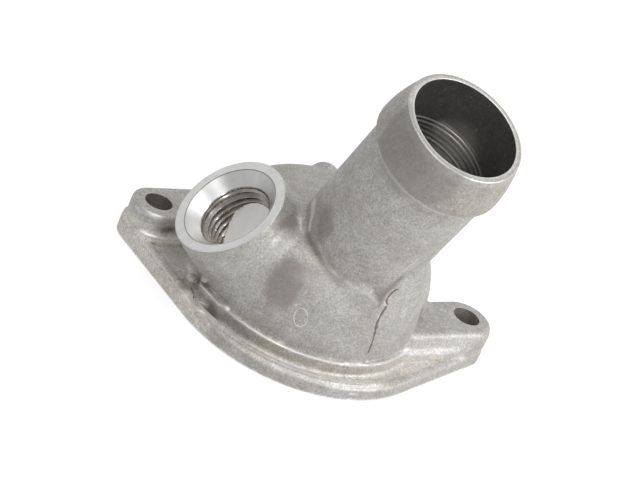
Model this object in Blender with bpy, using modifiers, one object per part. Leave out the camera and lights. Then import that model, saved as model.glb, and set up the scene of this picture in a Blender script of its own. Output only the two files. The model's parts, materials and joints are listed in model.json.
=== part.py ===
"""Coolant outlet: a one-piece die-cast cover over a thermostat.

A low flange with two bolt ears carries a round body. A hose neck and a threaded side port leave
the body at a slant, and both axes start from the middle of the thermostat seat. All lengths are
in metres. The design origin is the middle of the seat on the mounting face, and an empty moves
the whole casting so that the middle of its box's underside lies at the world origin.
"""
import math

import bmesh
import bpy
import numpy as np
from mathutils import Matrix, Vector

# Flange and its two bolt ears
BOLT_SPACING = 0.0760
BOLT_LINE_OFFSET = 0.0062
BOLT_HOLE_RADIUS = 0.00325
EAR_RADIUS = 0.0068
FLANGE_RADIUS = 0.0323
FLANGE_EDGE_HEIGHT = 0.0032
LIP_STEP = 0.0005
LIP_WIDTH = 0.0014
LIP_HEIGHT = 0.0041
CHANNEL_FLOOR = 0.00225

# Raised lugs that run from the ears into the body, and the pads on them
PAD_HEIGHT = 0.0094
LUG_HALF_WIDTH = 0.0061
LUG_DRAFT = 0.0006
LUG_LENGTH = 0.0240
LUG_ANGLE = 34.0
PAD_SETBACK = 0.0007
LEFT_LEDGE_HEIGHT = 0.0044
LEFT_LEDGE_HALF_WIDTH = 0.0088
RIGHT_LEDGE_HEIGHT = 0.0055
RIGHT_LEDGE_HALF_WIDTH = 0.0078
LEDGE_START = 0.0060

# Low lands that close the channel at its two ends, and the block beside the left one
LAND_AZIMUTH = 211.0
LAND_INSET = 0.0020
LAND_RADIUS = 0.0042
LAND_HEIGHT = 0.0039
LAND_END_AZIMUTH = 217.0
LAND_END_RADIUS = 0.0025
RIGHT_LAND_AZIMUTH = -20.0
RIGHT_LAND_INSET = 0.0030
RIGHT_LAND_RADIUS = 0.0036
RIGHT_LAND_HEIGHT = 0.0037
BLOCK_START = 212.0
BLOCK_END = 223.0
BLOCK_INSET = 0.0014
BLOCK_RADIUS = 0.0012
BLOCK_HEIGHT = 0.0052

# Round body and the thermostat chamber in it
TIER_RADIUS = 0.0270
TIER_HEIGHT = 0.0055
TIER_EDGE = 0.0005
BODY_RADIUS = 0.0260
BODY_HEIGHT = 0.0270
BODY_SHOULDER = 0.0115
BODY_WALL = 0.0037
SEAT_RADIUS = 0.0261
SEAT_DEPTH = 0.0026
KNOB_X = -0.0040
KNOB_Y = 0.0202
KNOB_Z = 0.0225
KNOB_RADIUS = 0.0040

# Gusset that fills the corner between the body's right front and the neck that leans over it
GUSSET_START = -69.0
GUSSET_FOOT_END = -30.0
GUSSET_TOP_END = -50.0
GUSSET_ROUND = 0.0050
GUSSET_FOOT_INSET = 0.0001
GUSSET_TOP_INSET = 0.0005
GUSSET_HEIGHT = 0.0310

# Hose neck
NECK_LEAN = 21.2
NECK_AZIMUTH = -64.0
NECK_LENGTH = 0.0707
NECK_RADIUS = 0.01375
NECK_BORE_RADIUS = 0.0119
MOUTH_RADIUS = 0.0132
MOUTH_EDGE = 0.0004
BEAD_RADIUS = 0.0150
BEAD_LENGTH = 0.0098
BEAD_STEP = 0.0009
NECK_FILLET = 0.0015

# Threaded side port
PORT_ELEVATION = 44.0
PORT_AZIMUTH = 204.0
PORT_DROP = 0.0020
PORT_STANDOUT = 0.0036
PORT_RADIUS = 0.0129
PORT_EDGE = 0.0003
PORT_DRAFT = 0.03
PORT_CHAMFER_RADIUS = 0.0106
PORT_THREAD_RADIUS = 0.0080
PORT_CHAMFER_DEPTH = 0.0030
PORT_BORE_RADIUS = 0.00725
PORT_FILLET = 0.0022

# Small margins that keep cutters and joined solids from ending face to face
ROOT_DEPTH = 0.0010
OVERRUN = 0.0010

# Fillets: how far the ball is pushed into the corner, how far its arc runs on past each contact
# as a share of the arc, and how deep the section's last point lies as a multiple of the corner
FILLET_SINK = 0.00015
FILLET_SPREAD = 0.1
FILLET_DEPTH = 1.5
HALVINGS = 40
SLOPE_STEP = 0.00001

# How finely the round forms are divided
BODY_SEGMENTS = 72
NECK_SEGMENTS = 56
PORT_SEGMENTS = 48
EAR_SEGMENTS = 32
KNOB_SEGMENTS = 20
ARC_STEPS = 8
MERGE_DISTANCE = 0.00001
FLAT_ANGLE = 0.3

NECK_ORIGIN = np.array([0.0, 0.0, 0.0])
PORT_ORIGIN = np.array([0.0, 0.0, -PORT_DROP])


def slanted(azimuth, elevation):
    """Unit vector at an azimuth from +X and an elevation above the mounting face, in degrees."""
    a = math.radians(azimuth)
    e = math.radians(elevation)
    return np.array([math.cos(a) * math.cos(e), math.sin(a) * math.cos(e), math.sin(e)])


NECK_AXIS = slanted(NECK_AZIMUTH, 90.0 - NECK_LEAN)
PORT_AXIS = slanted(PORT_AZIMUTH, PORT_ELEVATION)


def polar(radius, azimuth):
    """Place in plan at a radius from the seat's middle and an azimuth in degrees."""
    a = math.radians(azimuth)
    return radius * math.cos(a), radius * math.sin(a)


def front_reach():
    """How far the casting reaches towards -Y: the flange, the mouth or the bead."""
    spread = math.sqrt(1.0 - NECK_AXIS[1] ** 2)
    rings = ((NECK_LENGTH, MOUTH_RADIUS - MOUTH_EDGE), (NECK_LENGTH - MOUTH_EDGE, MOUTH_RADIUS),
             (NECK_LENGTH - BEAD_LENGTH, BEAD_RADIUS))
    return max([FLANGE_RADIUS] + [radius * spread - NECK_AXIS[1] * s for s, radius in rings])


def back_reach():
    """How far the casting reaches towards +Y: the flange or the ears."""
    return max(FLANGE_RADIUS, BOLT_LINE_OFFSET + EAR_RADIUS)


def clear_scene():
    for old in list(bpy.data.objects):
        bpy.data.objects.remove(old, do_unlink=True)


def new_collection(name):
    group = bpy.data.collections.new(name)
    bpy.context.scene.collection.children.link(group)
    return group


def cast_aluminium():
    """Raw die-cast aluminium: light grey, dull and slightly warm."""
    material = bpy.data.materials.new("cast_aluminium")
    material.use_nodes = True
    shader = material.node_tree.nodes["Principled BSDF"]
    shader.inputs["Base Color"].default_value = (0.46, 0.45, 0.43, 1.0)
    shader.inputs["Metallic"].default_value = 0.85
    shader.inputs["Roughness"].default_value = 0.5
    return material


def link(name, mesh, group, parent, hidden=True):
    """Put a mesh in the scene under the seat's empty, as a guide unless it is the part itself."""
    obj = bpy.data.objects.new(name, mesh)
    group.objects.link(obj)
    obj.parent = parent
    if hidden:
        obj.hide_render = True
        obj.display_type = 'WIRE'
    return obj


def hull_of_discs(name, discs):
    """Mesh of the smallest convex solid around level discs of (x, y, z, radius, segments)."""
    bm = bmesh.new()
    for x, y, z, radius, segments in discs:
        bmesh.ops.create_circle(bm, radius=radius, segments=segments,
                                matrix=Matrix.Translation((x, y, z)))
    hull = bmesh.ops.convex_hull(bm, input=bm.verts)
    inner = [v for v in hull["geom_interior"] if isinstance(v, bmesh.types.BMVert)]
    bmesh.ops.delete(bm, geom=inner, context='VERTS')
    bmesh.ops.delete(bm, geom=[e for e in bm.edges if not e.link_faces], context='EDGES')
    bmesh.ops.dissolve_limit(bm, angle_limit=math.radians(FLAT_ANGLE), verts=bm.verts, edges=bm.edges)
    bmesh.ops.recalc_face_normals(bm, faces=bm.faces)
    mesh = bpy.data.meshes.new(name)
    bm.to_mesh(mesh)
    bm.free()
    return mesh


def hull_of_rounds(name, rounds, low, high):
    """Mesh of an upright solid around rounds of (x, y, low radius, high radius, segments)."""
    discs = []
    for x, y, low_radius, high_radius, segments in rounds:
        discs.append((x, y, low, low_radius, segments))
        discs.append((x, y, high, high_radius, segments))
    return hull_of_discs(name, discs)


def turned(name, profile, segments, group, parent, origin=(0.0, 0.0, 0.0), axis=(0.0, 0.0, 1.0)):
    """Solid of revolution from a profile of (radius, height) points that runs from top to bottom."""
    mesh = bpy.data.meshes.new(name)
    points = [(radius, 0.0, height) for radius, height in profile]
    mesh.from_pydata(points, [(i, i + 1) for i in range(len(points) - 1)], [])
    obj = link(name, mesh, group, parent)
    obj.location = origin
    obj.rotation_mode = 'QUATERNION'
    obj.rotation_quaternion = Vector(axis).to_track_quat('Z', 'Y')
    screw = obj.modifiers.new("turn", 'SCREW')
    screw.axis = 'Z'
    screw.steps = segments
    screw.render_steps = segments
    screw.use_merge_vertices = True
    screw.merge_threshold = MERGE_DISTANCE
    screw.use_smooth_shade = True
    return obj


def arc(centre_r, centre_z, radius, start, end, steps):
    """Points of an arc in a profile's plane, between two angles in degrees from the +R axis."""
    angles = np.radians(np.linspace(start, end, steps + 1))
    return [(centre_r + radius * math.cos(a), centre_z + radius * math.sin(a)) for a in angles]


def combine(obj, other, operation):
    """Add or cut another solid with a Boolean modifier."""
    boolean = obj.modifiers.new(operation.lower() + "_" + other.name, 'BOOLEAN')
    boolean.operation = operation
    boolean.object = other
    boolean.solver = 'EXACT'


def outline_rounds(inset):
    """The flange's outline: the round seat and the two ears, all moved in by the same amount."""
    ear = EAR_RADIUS - inset
    body = FLANGE_RADIUS - inset
    return [(-BOLT_SPACING / 2, BOLT_LINE_OFFSET, ear, ear, EAR_SEGMENTS),
            (BOLT_SPACING / 2, BOLT_LINE_OFFSET, ear, ear, EAR_SEGMENTS),
            (0.0, 0.0, body, body, BODY_SEGMENTS)]


def lug_rounds(side, length, low_radius, high_radius):
    """Rounds along a lug's middle line, from the bolt hole in towards the body."""
    angle = math.radians(LUG_ANGLE if side < 0 else LUG_ANGLE + 180.0)
    hole = side * BOLT_SPACING / 2
    rounds = [(hole, BOLT_LINE_OFFSET, LUG_HALF_WIDTH, LUG_HALF_WIDTH, EAR_SEGMENTS)]
    for reach in (LEDGE_START, length):
        rounds.append((hole + reach * math.cos(angle), BOLT_LINE_OFFSET + reach * math.sin(angle),
                       low_radius, high_radius, EAR_SEGMENTS))
    return rounds


def prism(name, rounds, height, group, parent):
    """Upright solid around several rounds, from inside the flange up to a height."""
    return link(name, hull_of_rounds(name, rounds, ROOT_DEPTH, height), group, parent)


def lugs(group, parent):
    """A lug with a lower ledge round it, for each ear."""
    ledges = ((-1, "left", LEFT_LEDGE_HALF_WIDTH, LEFT_LEDGE_HEIGHT),
              (1, "right", RIGHT_LEDGE_HALF_WIDTH, RIGHT_LEDGE_HEIGHT))
    made = []
    for side, word, half_width, height in ledges:
        wall = lug_rounds(side, LUG_LENGTH, LUG_HALF_WIDTH + LUG_DRAFT, LUG_HALF_WIDTH)
        made.append(prism("lug_" + word, wall, PAD_HEIGHT, group, parent))
        made.append(prism("ledge_" + word, lug_rounds(side, LUG_LENGTH, half_width, half_width), height,
                          group, parent))
    return made


def lands(group, parent):
    """The low lands at both ends of the channel, and the small block beside the left one."""
    x, y = polar(FLANGE_RADIUS - LAND_INSET, LAND_AZIMUTH)
    end_x, end_y = polar(TIER_RADIUS - BLOCK_INSET, LAND_END_AZIMUTH)
    left = [(x, y, LAND_RADIUS, LAND_RADIUS, EAR_SEGMENTS),
            (end_x, end_y, LAND_END_RADIUS, LAND_END_RADIUS, EAR_SEGMENTS)]
    x, y = polar(FLANGE_RADIUS - RIGHT_LAND_INSET, RIGHT_LAND_AZIMUTH)
    right = [(x, y, RIGHT_LAND_RADIUS, RIGHT_LAND_RADIUS, EAR_SEGMENTS),
             (BOLT_SPACING / 2, BOLT_LINE_OFFSET, LUG_HALF_WIDTH, LUG_HALF_WIDTH, EAR_SEGMENTS)]
    block = []
    for azimuth in (BLOCK_START, BLOCK_END):
        x, y = polar(TIER_RADIUS - BLOCK_INSET, azimuth)
        block.append((x, y, BLOCK_RADIUS, BLOCK_RADIUS, KNOB_SEGMENTS))
    return [prism("land_left", left, LAND_HEIGHT, group, parent),
            prism("land_right", right, RIGHT_LAND_HEIGHT, group, parent),
            prism("block", block, BLOCK_HEIGHT, group, parent)]


def raised_features(group, parent):
    """Everything that stands on the flange beside the body, kept inside the lip's outer wall."""
    raised, *others = lugs(group, parent) + lands(group, parent)
    for other in others:
        combine(raised, other, 'UNION')
    limit = link("lip_limit", hull_of_rounds("lip_limit", outline_rounds(PAD_SETBACK), -OVERRUN,
                                             PAD_HEIGHT + OVERRUN), group, parent)
    combine(raised, limit, 'INTERSECT')
    return raised


def body_profile(radius, top, shoulder, bottom):
    """Profile of a round body with a rounded shoulder, closed on the axis at both ends."""
    points = [(0.0, top)]
    points += arc(radius - shoulder, top - shoulder, shoulder, 90.0, 0.0, ARC_STEPS)
    points += [(radius, bottom), (0.0, bottom)]
    return points


def body(group, parent):
    return turned("body", body_profile(BODY_RADIUS, BODY_HEIGHT, BODY_SHOULDER, ROOT_DEPTH),
                  BODY_SEGMENTS, group, parent)


def tier(group, parent):
    """The low round step that the body stands on."""
    profile = [(0.0, TIER_HEIGHT), (TIER_RADIUS - TIER_EDGE, TIER_HEIGHT),
               (TIER_RADIUS, TIER_HEIGHT - TIER_EDGE), (TIER_RADIUS, ROOT_DEPTH), (0.0, ROOT_DEPTH)]
    return turned("tier", profile, BODY_SEGMENTS, group, parent)


def knob(group, parent):
    """The small round knob at the back of the body's shoulder."""
    bm = bmesh.new()
    bmesh.ops.create_uvsphere(bm, u_segments=KNOB_SEGMENTS, v_segments=KNOB_SEGMENTS // 2,
                              radius=KNOB_RADIUS)
    mesh = bpy.data.meshes.new("knob")
    bm.to_mesh(mesh)
    bm.free()
    obj = link("knob", mesh, group, parent)
    obj.location = (KNOB_X, KNOB_Y, KNOB_Z)
    return obj


def gusset(group, parent):
    """Fill under the neck, whose outer wall carries the body's wall on up to the neck."""
    foot = BODY_HEIGHT - BODY_SHOULDER
    discs = []
    for z, inset, end in ((foot, GUSSET_FOOT_INSET, GUSSET_FOOT_END),
                          (GUSSET_HEIGHT, GUSSET_TOP_INSET, GUSSET_TOP_END)):
        discs.append((0.0, 0.0, z, GUSSET_ROUND, KNOB_SEGMENTS))
        for azimuth in np.linspace(GUSSET_START, end, ARC_STEPS):
            x, y = polar(BODY_RADIUS - inset - GUSSET_ROUND, azimuth)
            discs.append((x, y, z, GUSSET_ROUND, KNOB_SEGMENTS))
    return link("gusset", hull_of_discs("gusset", discs), group, parent)


def neck_root():
    """Start of the neck along its axis: the lowest place where its end lies inside the flange."""
    lean = math.radians(NECK_LEAN)
    return (ROOT_DEPTH + NECK_RADIUS * math.sin(lean)) / math.cos(lean)


def neck(group, parent):
    """Hose neck: a thin mouth that swells into the hose bead, then a step back to the tube."""
    bead_back = NECK_LENGTH - BEAD_LENGTH
    profile = [(0.0, NECK_LENGTH), (MOUTH_RADIUS - MOUTH_EDGE, NECK_LENGTH),
               (MOUTH_RADIUS, NECK_LENGTH - MOUTH_EDGE)]
    for i in range(1, ARC_STEPS):
        t = i / (ARC_STEPS - 1)
        swell = math.sin(t * math.pi / 2)
        profile.append((MOUTH_RADIUS + (BEAD_RADIUS - MOUTH_RADIUS) * swell,
                        NECK_LENGTH - MOUTH_EDGE - (BEAD_LENGTH - MOUTH_EDGE) * t))
    profile += [(NECK_RADIUS, bead_back - BEAD_STEP), (NECK_RADIUS, neck_root()), (0.0, neck_root())]
    return turned("neck", profile, NECK_SEGMENTS, group, parent, NECK_ORIGIN, NECK_AXIS)


def port_length():
    """How far the port's face lies along its axis: to the body's surface, and its standout more."""
    low = 0.0
    high = BODY_RADIUS + BODY_HEIGHT
    for _ in range(HALVINGS):
        middle = (low + high) / 2
        if distance_to_body(PORT_ORIGIN + middle * PORT_AXIS[None, :])[0] < 0.0:
            low = middle
        else:
            high = middle
    return high + PORT_STANDOUT


def port_radius(s):
    """Outer radius of the port at a distance along its axis: it widens towards its root."""
    return PORT_RADIUS + PORT_DRAFT * (port_length() - s)


def port_root():
    """Start of the port along its axis, where the lower edge of its end is inside the flange."""
    e = math.radians(PORT_ELEVATION)
    widest = port_radius(0.0)
    return (ROOT_DEPTH + PORT_DROP + widest * math.cos(e)) / math.sin(e)


def port(group, parent):
    """Side port: a drafted round boss with a flat end face."""
    root = port_root()
    face = port_length()
    profile = [(0.0, face), (PORT_RADIUS - PORT_EDGE, face), (PORT_RADIUS, face - PORT_EDGE),
               (port_radius(root), root), (0.0, root)]
    return turned("port", profile, PORT_SEGMENTS, group, parent, PORT_ORIGIN, PORT_AXIS)


def distance_to_body(points):
    """Distance from each point to the round body with its rounded shoulder."""
    out = np.hypot(points[:, 0], points[:, 1]) - (BODY_RADIUS - BODY_SHOULDER)
    up = points[:, 2] - (BODY_HEIGHT - BODY_SHOULDER)
    outside = np.hypot(np.maximum(out, 0.0), np.maximum(up, 0.0))
    return np.minimum(np.maximum(out, up), 0.0) + outside - BODY_SHOULDER


def distance_to_port(points):
    """Distance from each point to the port's drafted side wall."""
    offset = points - PORT_ORIGIN
    along = offset @ PORT_AXIS
    out = np.linalg.norm(offset - along[:, None] * PORT_AXIS, axis=1)
    return (out - port_radius(along)) / math.hypot(1.0, PORT_DRAFT)


def distance_to_body_and_port(points):
    return np.minimum(distance_to_body(points), distance_to_port(points))


def gradient(distance, points):
    """Direction away from a solid at each point, from small steps along X, Y and Z."""
    slopes = []
    for axis in np.eye(3):
        step = SLOPE_STEP * axis
        slopes.append(distance(points + step) - distance(points - step))
    normal = np.stack(slopes, axis=1)
    return normal / np.linalg.norm(normal, axis=1)[:, None]


def around(axis, count):
    """Unit vectors square to an axis, evenly spaced all the way round it."""
    turn = Vector(axis).to_track_quat('Z', 'Y').to_matrix()
    angles = 2.0 * math.pi * np.arange(count) / count
    flat = np.stack([np.cos(angles), np.sin(angles), np.zeros(count)], axis=1)
    return flat @ np.array(turn).T


def rolling_ball_fillet(name, origin, axis, radius_at, end, distance, ball, count, group, parent):
    """Fillet between a round wall and another solid, lofted as a closed ring.

    A ball rolls in the corner all the way round. Its centre is found by halving along a line that
    runs beside the round wall, and its contact points give the ends of each section's arc. The
    section's last point lies deep in the corner, inside both solids.
    """
    radial = around(axis, count)
    low = np.zeros(count)
    high = np.full(count, end)

    def centres(s):
        return origin + s[:, None] * axis + (radius_at(s) + ball)[:, None] * radial

    for _ in range(HALVINGS):
        middle = (low + high) / 2
        free = distance(centres(middle)) > ball
        high = np.where(free, middle, high)
        low = np.where(free, low, middle)
    centre = centres(high)
    to_wall = -radial
    to_other = -gradient(distance, centre)
    cosine = np.sum(to_wall * to_other, axis=1)
    angle = np.arccos(cosine)
    corner = (to_wall + to_other) / (1.0 + cosine)[:, None]
    sunk = centre + FILLET_SINK * (to_wall + to_other)
    rings = []
    for t in np.linspace(-FILLET_SPREAD, 1.0 + FILLET_SPREAD, ARC_STEPS + 1):
        toward = (np.sin((1.0 - t) * angle)[:, None] * to_wall
                  + np.sin(t * angle)[:, None] * to_other) / np.sin(angle)[:, None]
        rings.append(sunk + ball * toward)
    rings.append(centre + FILLET_DEPTH * ball * corner)
    points = np.stack(rings, axis=1)
    width = points.shape[1]
    faces = []
    for i in range(count):
        for j in range(width):
            a = i * width + j
            b = i * width + (j + 1) % width
            c = (i + 1) % count * width + (j + 1) % width
            d = (i + 1) % count * width + j
            faces.append((a, b, c, d))
    mesh = bpy.data.meshes.new(name)
    mesh.from_pydata([tuple(p) for p in points.reshape(-1, 3)], [], faces)
    bm = bmesh.new()
    bm.from_mesh(mesh)
    bmesh.ops.triangulate(bm, faces=bm.faces)
    bmesh.ops.recalc_face_normals(bm, faces=bm.faces)
    bm.to_mesh(mesh)
    bm.free()
    return link(name, mesh, group, parent)


def neck_fillet(group, parent):
    return rolling_ball_fillet("neck_fillet", NECK_ORIGIN, NECK_AXIS,
                               lambda s: np.full(len(s), NECK_RADIUS), NECK_LENGTH,
                               distance_to_body_and_port, NECK_FILLET, NECK_SEGMENTS, group, parent)


def port_fillet(group, parent):
    return rolling_ball_fillet("port_fillet", PORT_ORIGIN, PORT_AXIS, port_radius, port_length(),
                               distance_to_body, PORT_FILLET, PORT_SEGMENTS, group, parent)


def chamber(group, parent):
    """Thermostat chamber: the body's form moved in by its wall, open through the mounting face."""
    profile = body_profile(BODY_RADIUS - BODY_WALL, BODY_HEIGHT - BODY_WALL,
                           BODY_SHOULDER - BODY_WALL, -OVERRUN)
    return turned("chamber", profile, BODY_SEGMENTS, group, parent)


def seat(group, parent):
    """Shallow recess in the mounting face for the thermostat's rim."""
    profile = [(0.0, SEAT_DEPTH), (SEAT_RADIUS, SEAT_DEPTH), (SEAT_RADIUS, -OVERRUN), (0.0, -OVERRUN)]
    return turned("seat", profile, BODY_SEGMENTS, group, parent)


def bore_end(origin_drop, radius, elevation):
    """Inner end of a slanted bore along its axis, where its end clears the seat recess."""
    e = math.radians(elevation)
    return (SEAT_DEPTH + origin_drop + radius * math.cos(e)) / math.sin(e)


def neck_bore(group, parent):
    inner = bore_end(0.0, NECK_BORE_RADIUS, 90.0 - NECK_LEAN)
    profile = [(0.0, NECK_LENGTH + OVERRUN), (NECK_BORE_RADIUS, NECK_LENGTH + OVERRUN),
               (NECK_BORE_RADIUS, inner), (0.0, inner)]
    return turned("neck_bore", profile, NECK_SEGMENTS, group, parent, NECK_ORIGIN, NECK_AXIS)


def port_bore(group, parent):
    """Port bore at the thread's crest, with the wide lead-in chamfer at its mouth."""
    inner = bore_end(PORT_DROP, PORT_BORE_RADIUS, PORT_ELEVATION)
    slope = PORT_CHAMFER_DEPTH / (PORT_CHAMFER_RADIUS - PORT_THREAD_RADIUS)
    face = port_length()
    chamfer_end = face - slope * (PORT_CHAMFER_RADIUS - PORT_BORE_RADIUS)
    mouth = PORT_CHAMFER_RADIUS + OVERRUN / slope
    profile = [(0.0, face + OVERRUN), (mouth, face + OVERRUN),
               (PORT_BORE_RADIUS, chamfer_end), (PORT_BORE_RADIUS, inner), (0.0, inner)]
    return turned("port_bore", profile, PORT_SEGMENTS, group, parent, PORT_ORIGIN, PORT_AXIS)


def bolt_hole(side, group, parent):
    profile = [(0.0, PAD_HEIGHT + OVERRUN), (BOLT_HOLE_RADIUS, PAD_HEIGHT + OVERRUN),
               (BOLT_HOLE_RADIUS, -OVERRUN), (0.0, -OVERRUN)]
    return turned("bolt_hole_%d" % (1 if side < 0 else 2), profile, EAR_SEGMENTS, group, parent,
                  (side * BOLT_SPACING / 2, BOLT_LINE_OFFSET, 0.0))


def flange(parts, group, parent):
    """Flange plate with a raised lip and the sunk channel inside it."""
    plate = link("coolant_outlet", hull_of_rounds("coolant_outlet", outline_rounds(0.0), 0.0,
                                                  FLANGE_EDGE_HEIGHT), parts, parent, hidden=False)
    lip = link("lip", hull_of_rounds("lip", outline_rounds(LIP_STEP), ROOT_DEPTH, LIP_HEIGHT),
               group, parent)
    channel = link("channel", hull_of_rounds("channel", outline_rounds(LIP_STEP + LIP_WIDTH),
                                             CHANNEL_FLOOR, LIP_HEIGHT + OVERRUN), group, parent)
    combine(plate, lip, 'UNION')
    combine(plate, channel, 'DIFFERENCE')
    return plate


def coolant_outlet():
    parts = new_collection("coolant_outlet")
    guides = new_collection("guides")
    seat_middle = bpy.data.objects.new("seat_middle", None)
    parts.objects.link(seat_middle)
    seat_middle.location = (0.0, (front_reach() - back_reach()) / 2, 0.0)

    casting = flange(parts, guides, seat_middle)
    for added in (tier, raised_features, body, gusset, neck, port, neck_fillet, port_fillet, knob):
        combine(casting, added(guides, seat_middle), 'UNION')
    for cut in (chamber, seat, neck_bore, port_bore):
        combine(casting, cut(guides, seat_middle), 'DIFFERENCE')
    for side in (-1, 1):
        combine(casting, bolt_hole(side, guides, seat_middle), 'DIFFERENCE')
    casting.data.materials.append(cast_aluminium())
    return casting


clear_scene()
coolant_outlet()
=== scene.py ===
"""Looks of the coolant outlet: one aluminium casting with machined faces and a threaded side port.

The casting is one distance field: every plain form gives the distance to its surface, forms are
joined with round fillets, and bores are taken away. The field's zero surface is then worked out
on a grid as a mesh. Lengths are in metres. Forms are placed in the seat's frame, whose origin is
the middle of the thermostat seat on the mounting face.
"""
import json
import math

import bpy
import numpy as np
from mathutils import Matrix, Vector


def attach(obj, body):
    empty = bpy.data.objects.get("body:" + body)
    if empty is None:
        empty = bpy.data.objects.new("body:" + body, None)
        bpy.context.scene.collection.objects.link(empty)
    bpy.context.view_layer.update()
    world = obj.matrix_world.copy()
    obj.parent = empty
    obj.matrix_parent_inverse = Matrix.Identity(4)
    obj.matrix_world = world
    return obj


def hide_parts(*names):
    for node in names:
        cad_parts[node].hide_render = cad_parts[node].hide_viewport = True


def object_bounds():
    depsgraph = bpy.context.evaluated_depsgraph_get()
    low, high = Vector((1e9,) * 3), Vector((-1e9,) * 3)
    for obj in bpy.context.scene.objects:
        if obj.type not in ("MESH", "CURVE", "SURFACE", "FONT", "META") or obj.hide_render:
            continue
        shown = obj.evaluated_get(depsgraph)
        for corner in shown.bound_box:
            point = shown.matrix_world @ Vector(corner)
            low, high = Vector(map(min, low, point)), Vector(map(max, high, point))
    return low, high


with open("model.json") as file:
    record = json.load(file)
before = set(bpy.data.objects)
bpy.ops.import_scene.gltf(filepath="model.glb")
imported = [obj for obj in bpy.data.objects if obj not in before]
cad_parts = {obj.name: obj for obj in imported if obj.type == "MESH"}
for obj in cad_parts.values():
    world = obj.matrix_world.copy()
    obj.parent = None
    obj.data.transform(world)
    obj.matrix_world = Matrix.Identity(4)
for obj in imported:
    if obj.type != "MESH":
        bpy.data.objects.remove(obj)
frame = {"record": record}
cad_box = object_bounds()

MM = 0.001

# Flange, from the mounting face up
BOLT_SPACING = 76.0 * MM
BOLT_LINE_OFFSET = 6.2 * MM
BOLT_HOLE_RADIUS = 3.25 * MM
EAR_RADIUS = 6.8 * MM
FLANGE_RADIUS = 32.3 * MM
EDGE_HEIGHT = 3.2 * MM
LIP_STEP = 0.95 * MM
LIP_STEP_LEFT = 0.1 * MM
LIP_INNER = 2.05 * MM
LIP_HEIGHT = 4.1 * MM
RIM_ROUND = 1.1 * MM
CHANNEL_FLOOR = 2.25 * MM
CHANNEL_ROUND = 1.1 * MM
CHANNEL_FLOOR_LEFT = 3.1 * MM
RIGHT_SLOPE = 0.14
RIGHT_SLOPE_LENGTH = 8.0 * MM
RIGHT_DROP = 0.4 * MM
LIP_ROUND = 0.4 * MM
LIP_SINK = 0.2 * MM
CHANNEL_EDGE = 0.35 * MM
CHANNEL_EDGE_RIGHT = 1.15 * MM

# Where along X the rim turns plain, the lip fades, and the channel's floor rises
PLAIN_RIM = (-21.0 * MM, -24.0 * MM)
LIP_FADE = (15.0 * MM, 25.0 * MM)
FLOOR_RISE = (20.0 * MM, 32.0 * MM)

# Lugs that run from the ears into the body, and their ledges as (side, draft, half width, height,
# start)
PAD_HEIGHT = 9.4 * MM
LUG_HALF_WIDTH = 6.1 * MM
LUG_LENGTH = 24.0 * MM
LUG_ANGLE = math.radians(34.0)
PAD_SETBACK_LEFT = 0.7 * MM
PAD_SETBACK_RIGHT = 0.12 * MM
PAD_EDGE = 1.0 * MM
LEDGES = ((-1.0, 0.12, 8.8 * MM, 4.4 * MM, 0.0), (1.0, 0.30, 7.9 * MM, 5.3 * MM, 9.0 * MM))
LEDGE_EDGE = 0.6 * MM
LEDGE_FILLET = 1.0 * MM
LUG_FRONT_EDGE = 0.3 * MM

# Low lands that close the channel: start and end in plan, radius and height
LEFT_LAND = ((-26.0 * MM, -15.6 * MM), (-20.4 * MM, -15.4 * MM), 3.4 * MM, 3.9 * MM)
LAND_EDGE = 0.4 * MM
BLOCK = ((-22.6 * MM, -14.6 * MM), (-18.6 * MM, -18.9 * MM), 1.6 * MM, 6.0 * MM)
BLOCK_EDGE = 0.3 * MM

# Small casting marks on the left land: lumps of (x, y, z) with a radius, and a pit between them
LUMPS = (((-26.2 * MM, -12.2 * MM, 4.3 * MM), 1.3 * MM),
         ((-23.7 * MM, -15.8 * MM, 7.9 * MM), 0.9 * MM),
         ((-28.4 * MM, -14.7 * MM, 3.6 * MM), 0.9 * MM),
         ((-36.5 * MM, 8.8 * MM, 9.1 * MM), 0.5 * MM))
PIT = (-24.9 * MM, -12.9 * MM, 4.6 * MM)
PIT_RADIUS = 0.7 * MM
PIT_EDGE = 0.2 * MM
LUMP_FILLET = 0.3 * MM
NOTCH = (14.0 * MM, -30.0 * MM)
NOTCH_RADIUS = 1.1 * MM
NOTCH_TOP = 1.5 * MM

# Body and chamber
TIER_RADIUS = 27.0 * MM
TIER_HEIGHT = 5.5 * MM
TIER_DRAFT = 0.1
TIER_EDGE = 0.45 * MM
TIER_FILLET = 1.0 * MM
BODY_RADIUS = 26.0 * MM
BODY_HEIGHT = 27.0 * MM
BODY_SHOULDER = 11.5 * MM
BODY_WALL = 3.7 * MM
BODY_NARROWING = 0.035
NARROWING_HEIGHTS = (8.0 * MM, 14.0 * MM)
NARROWING_PLACES = (-12.0 * MM, -2.0 * MM)
SEAT_RADIUS = 26.1 * MM
SEAT_DEPTH = 2.6 * MM
KNOB = (-4.0 * MM, 20.2 * MM, 22.5 * MM)
KNOB_RADIUS = 4.0 * MM
KNOB_FILLET = 0.8 * MM
BORE_FILLET = 1.0 * MM
CHAMBER_EDGE = 0.25 * MM

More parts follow.
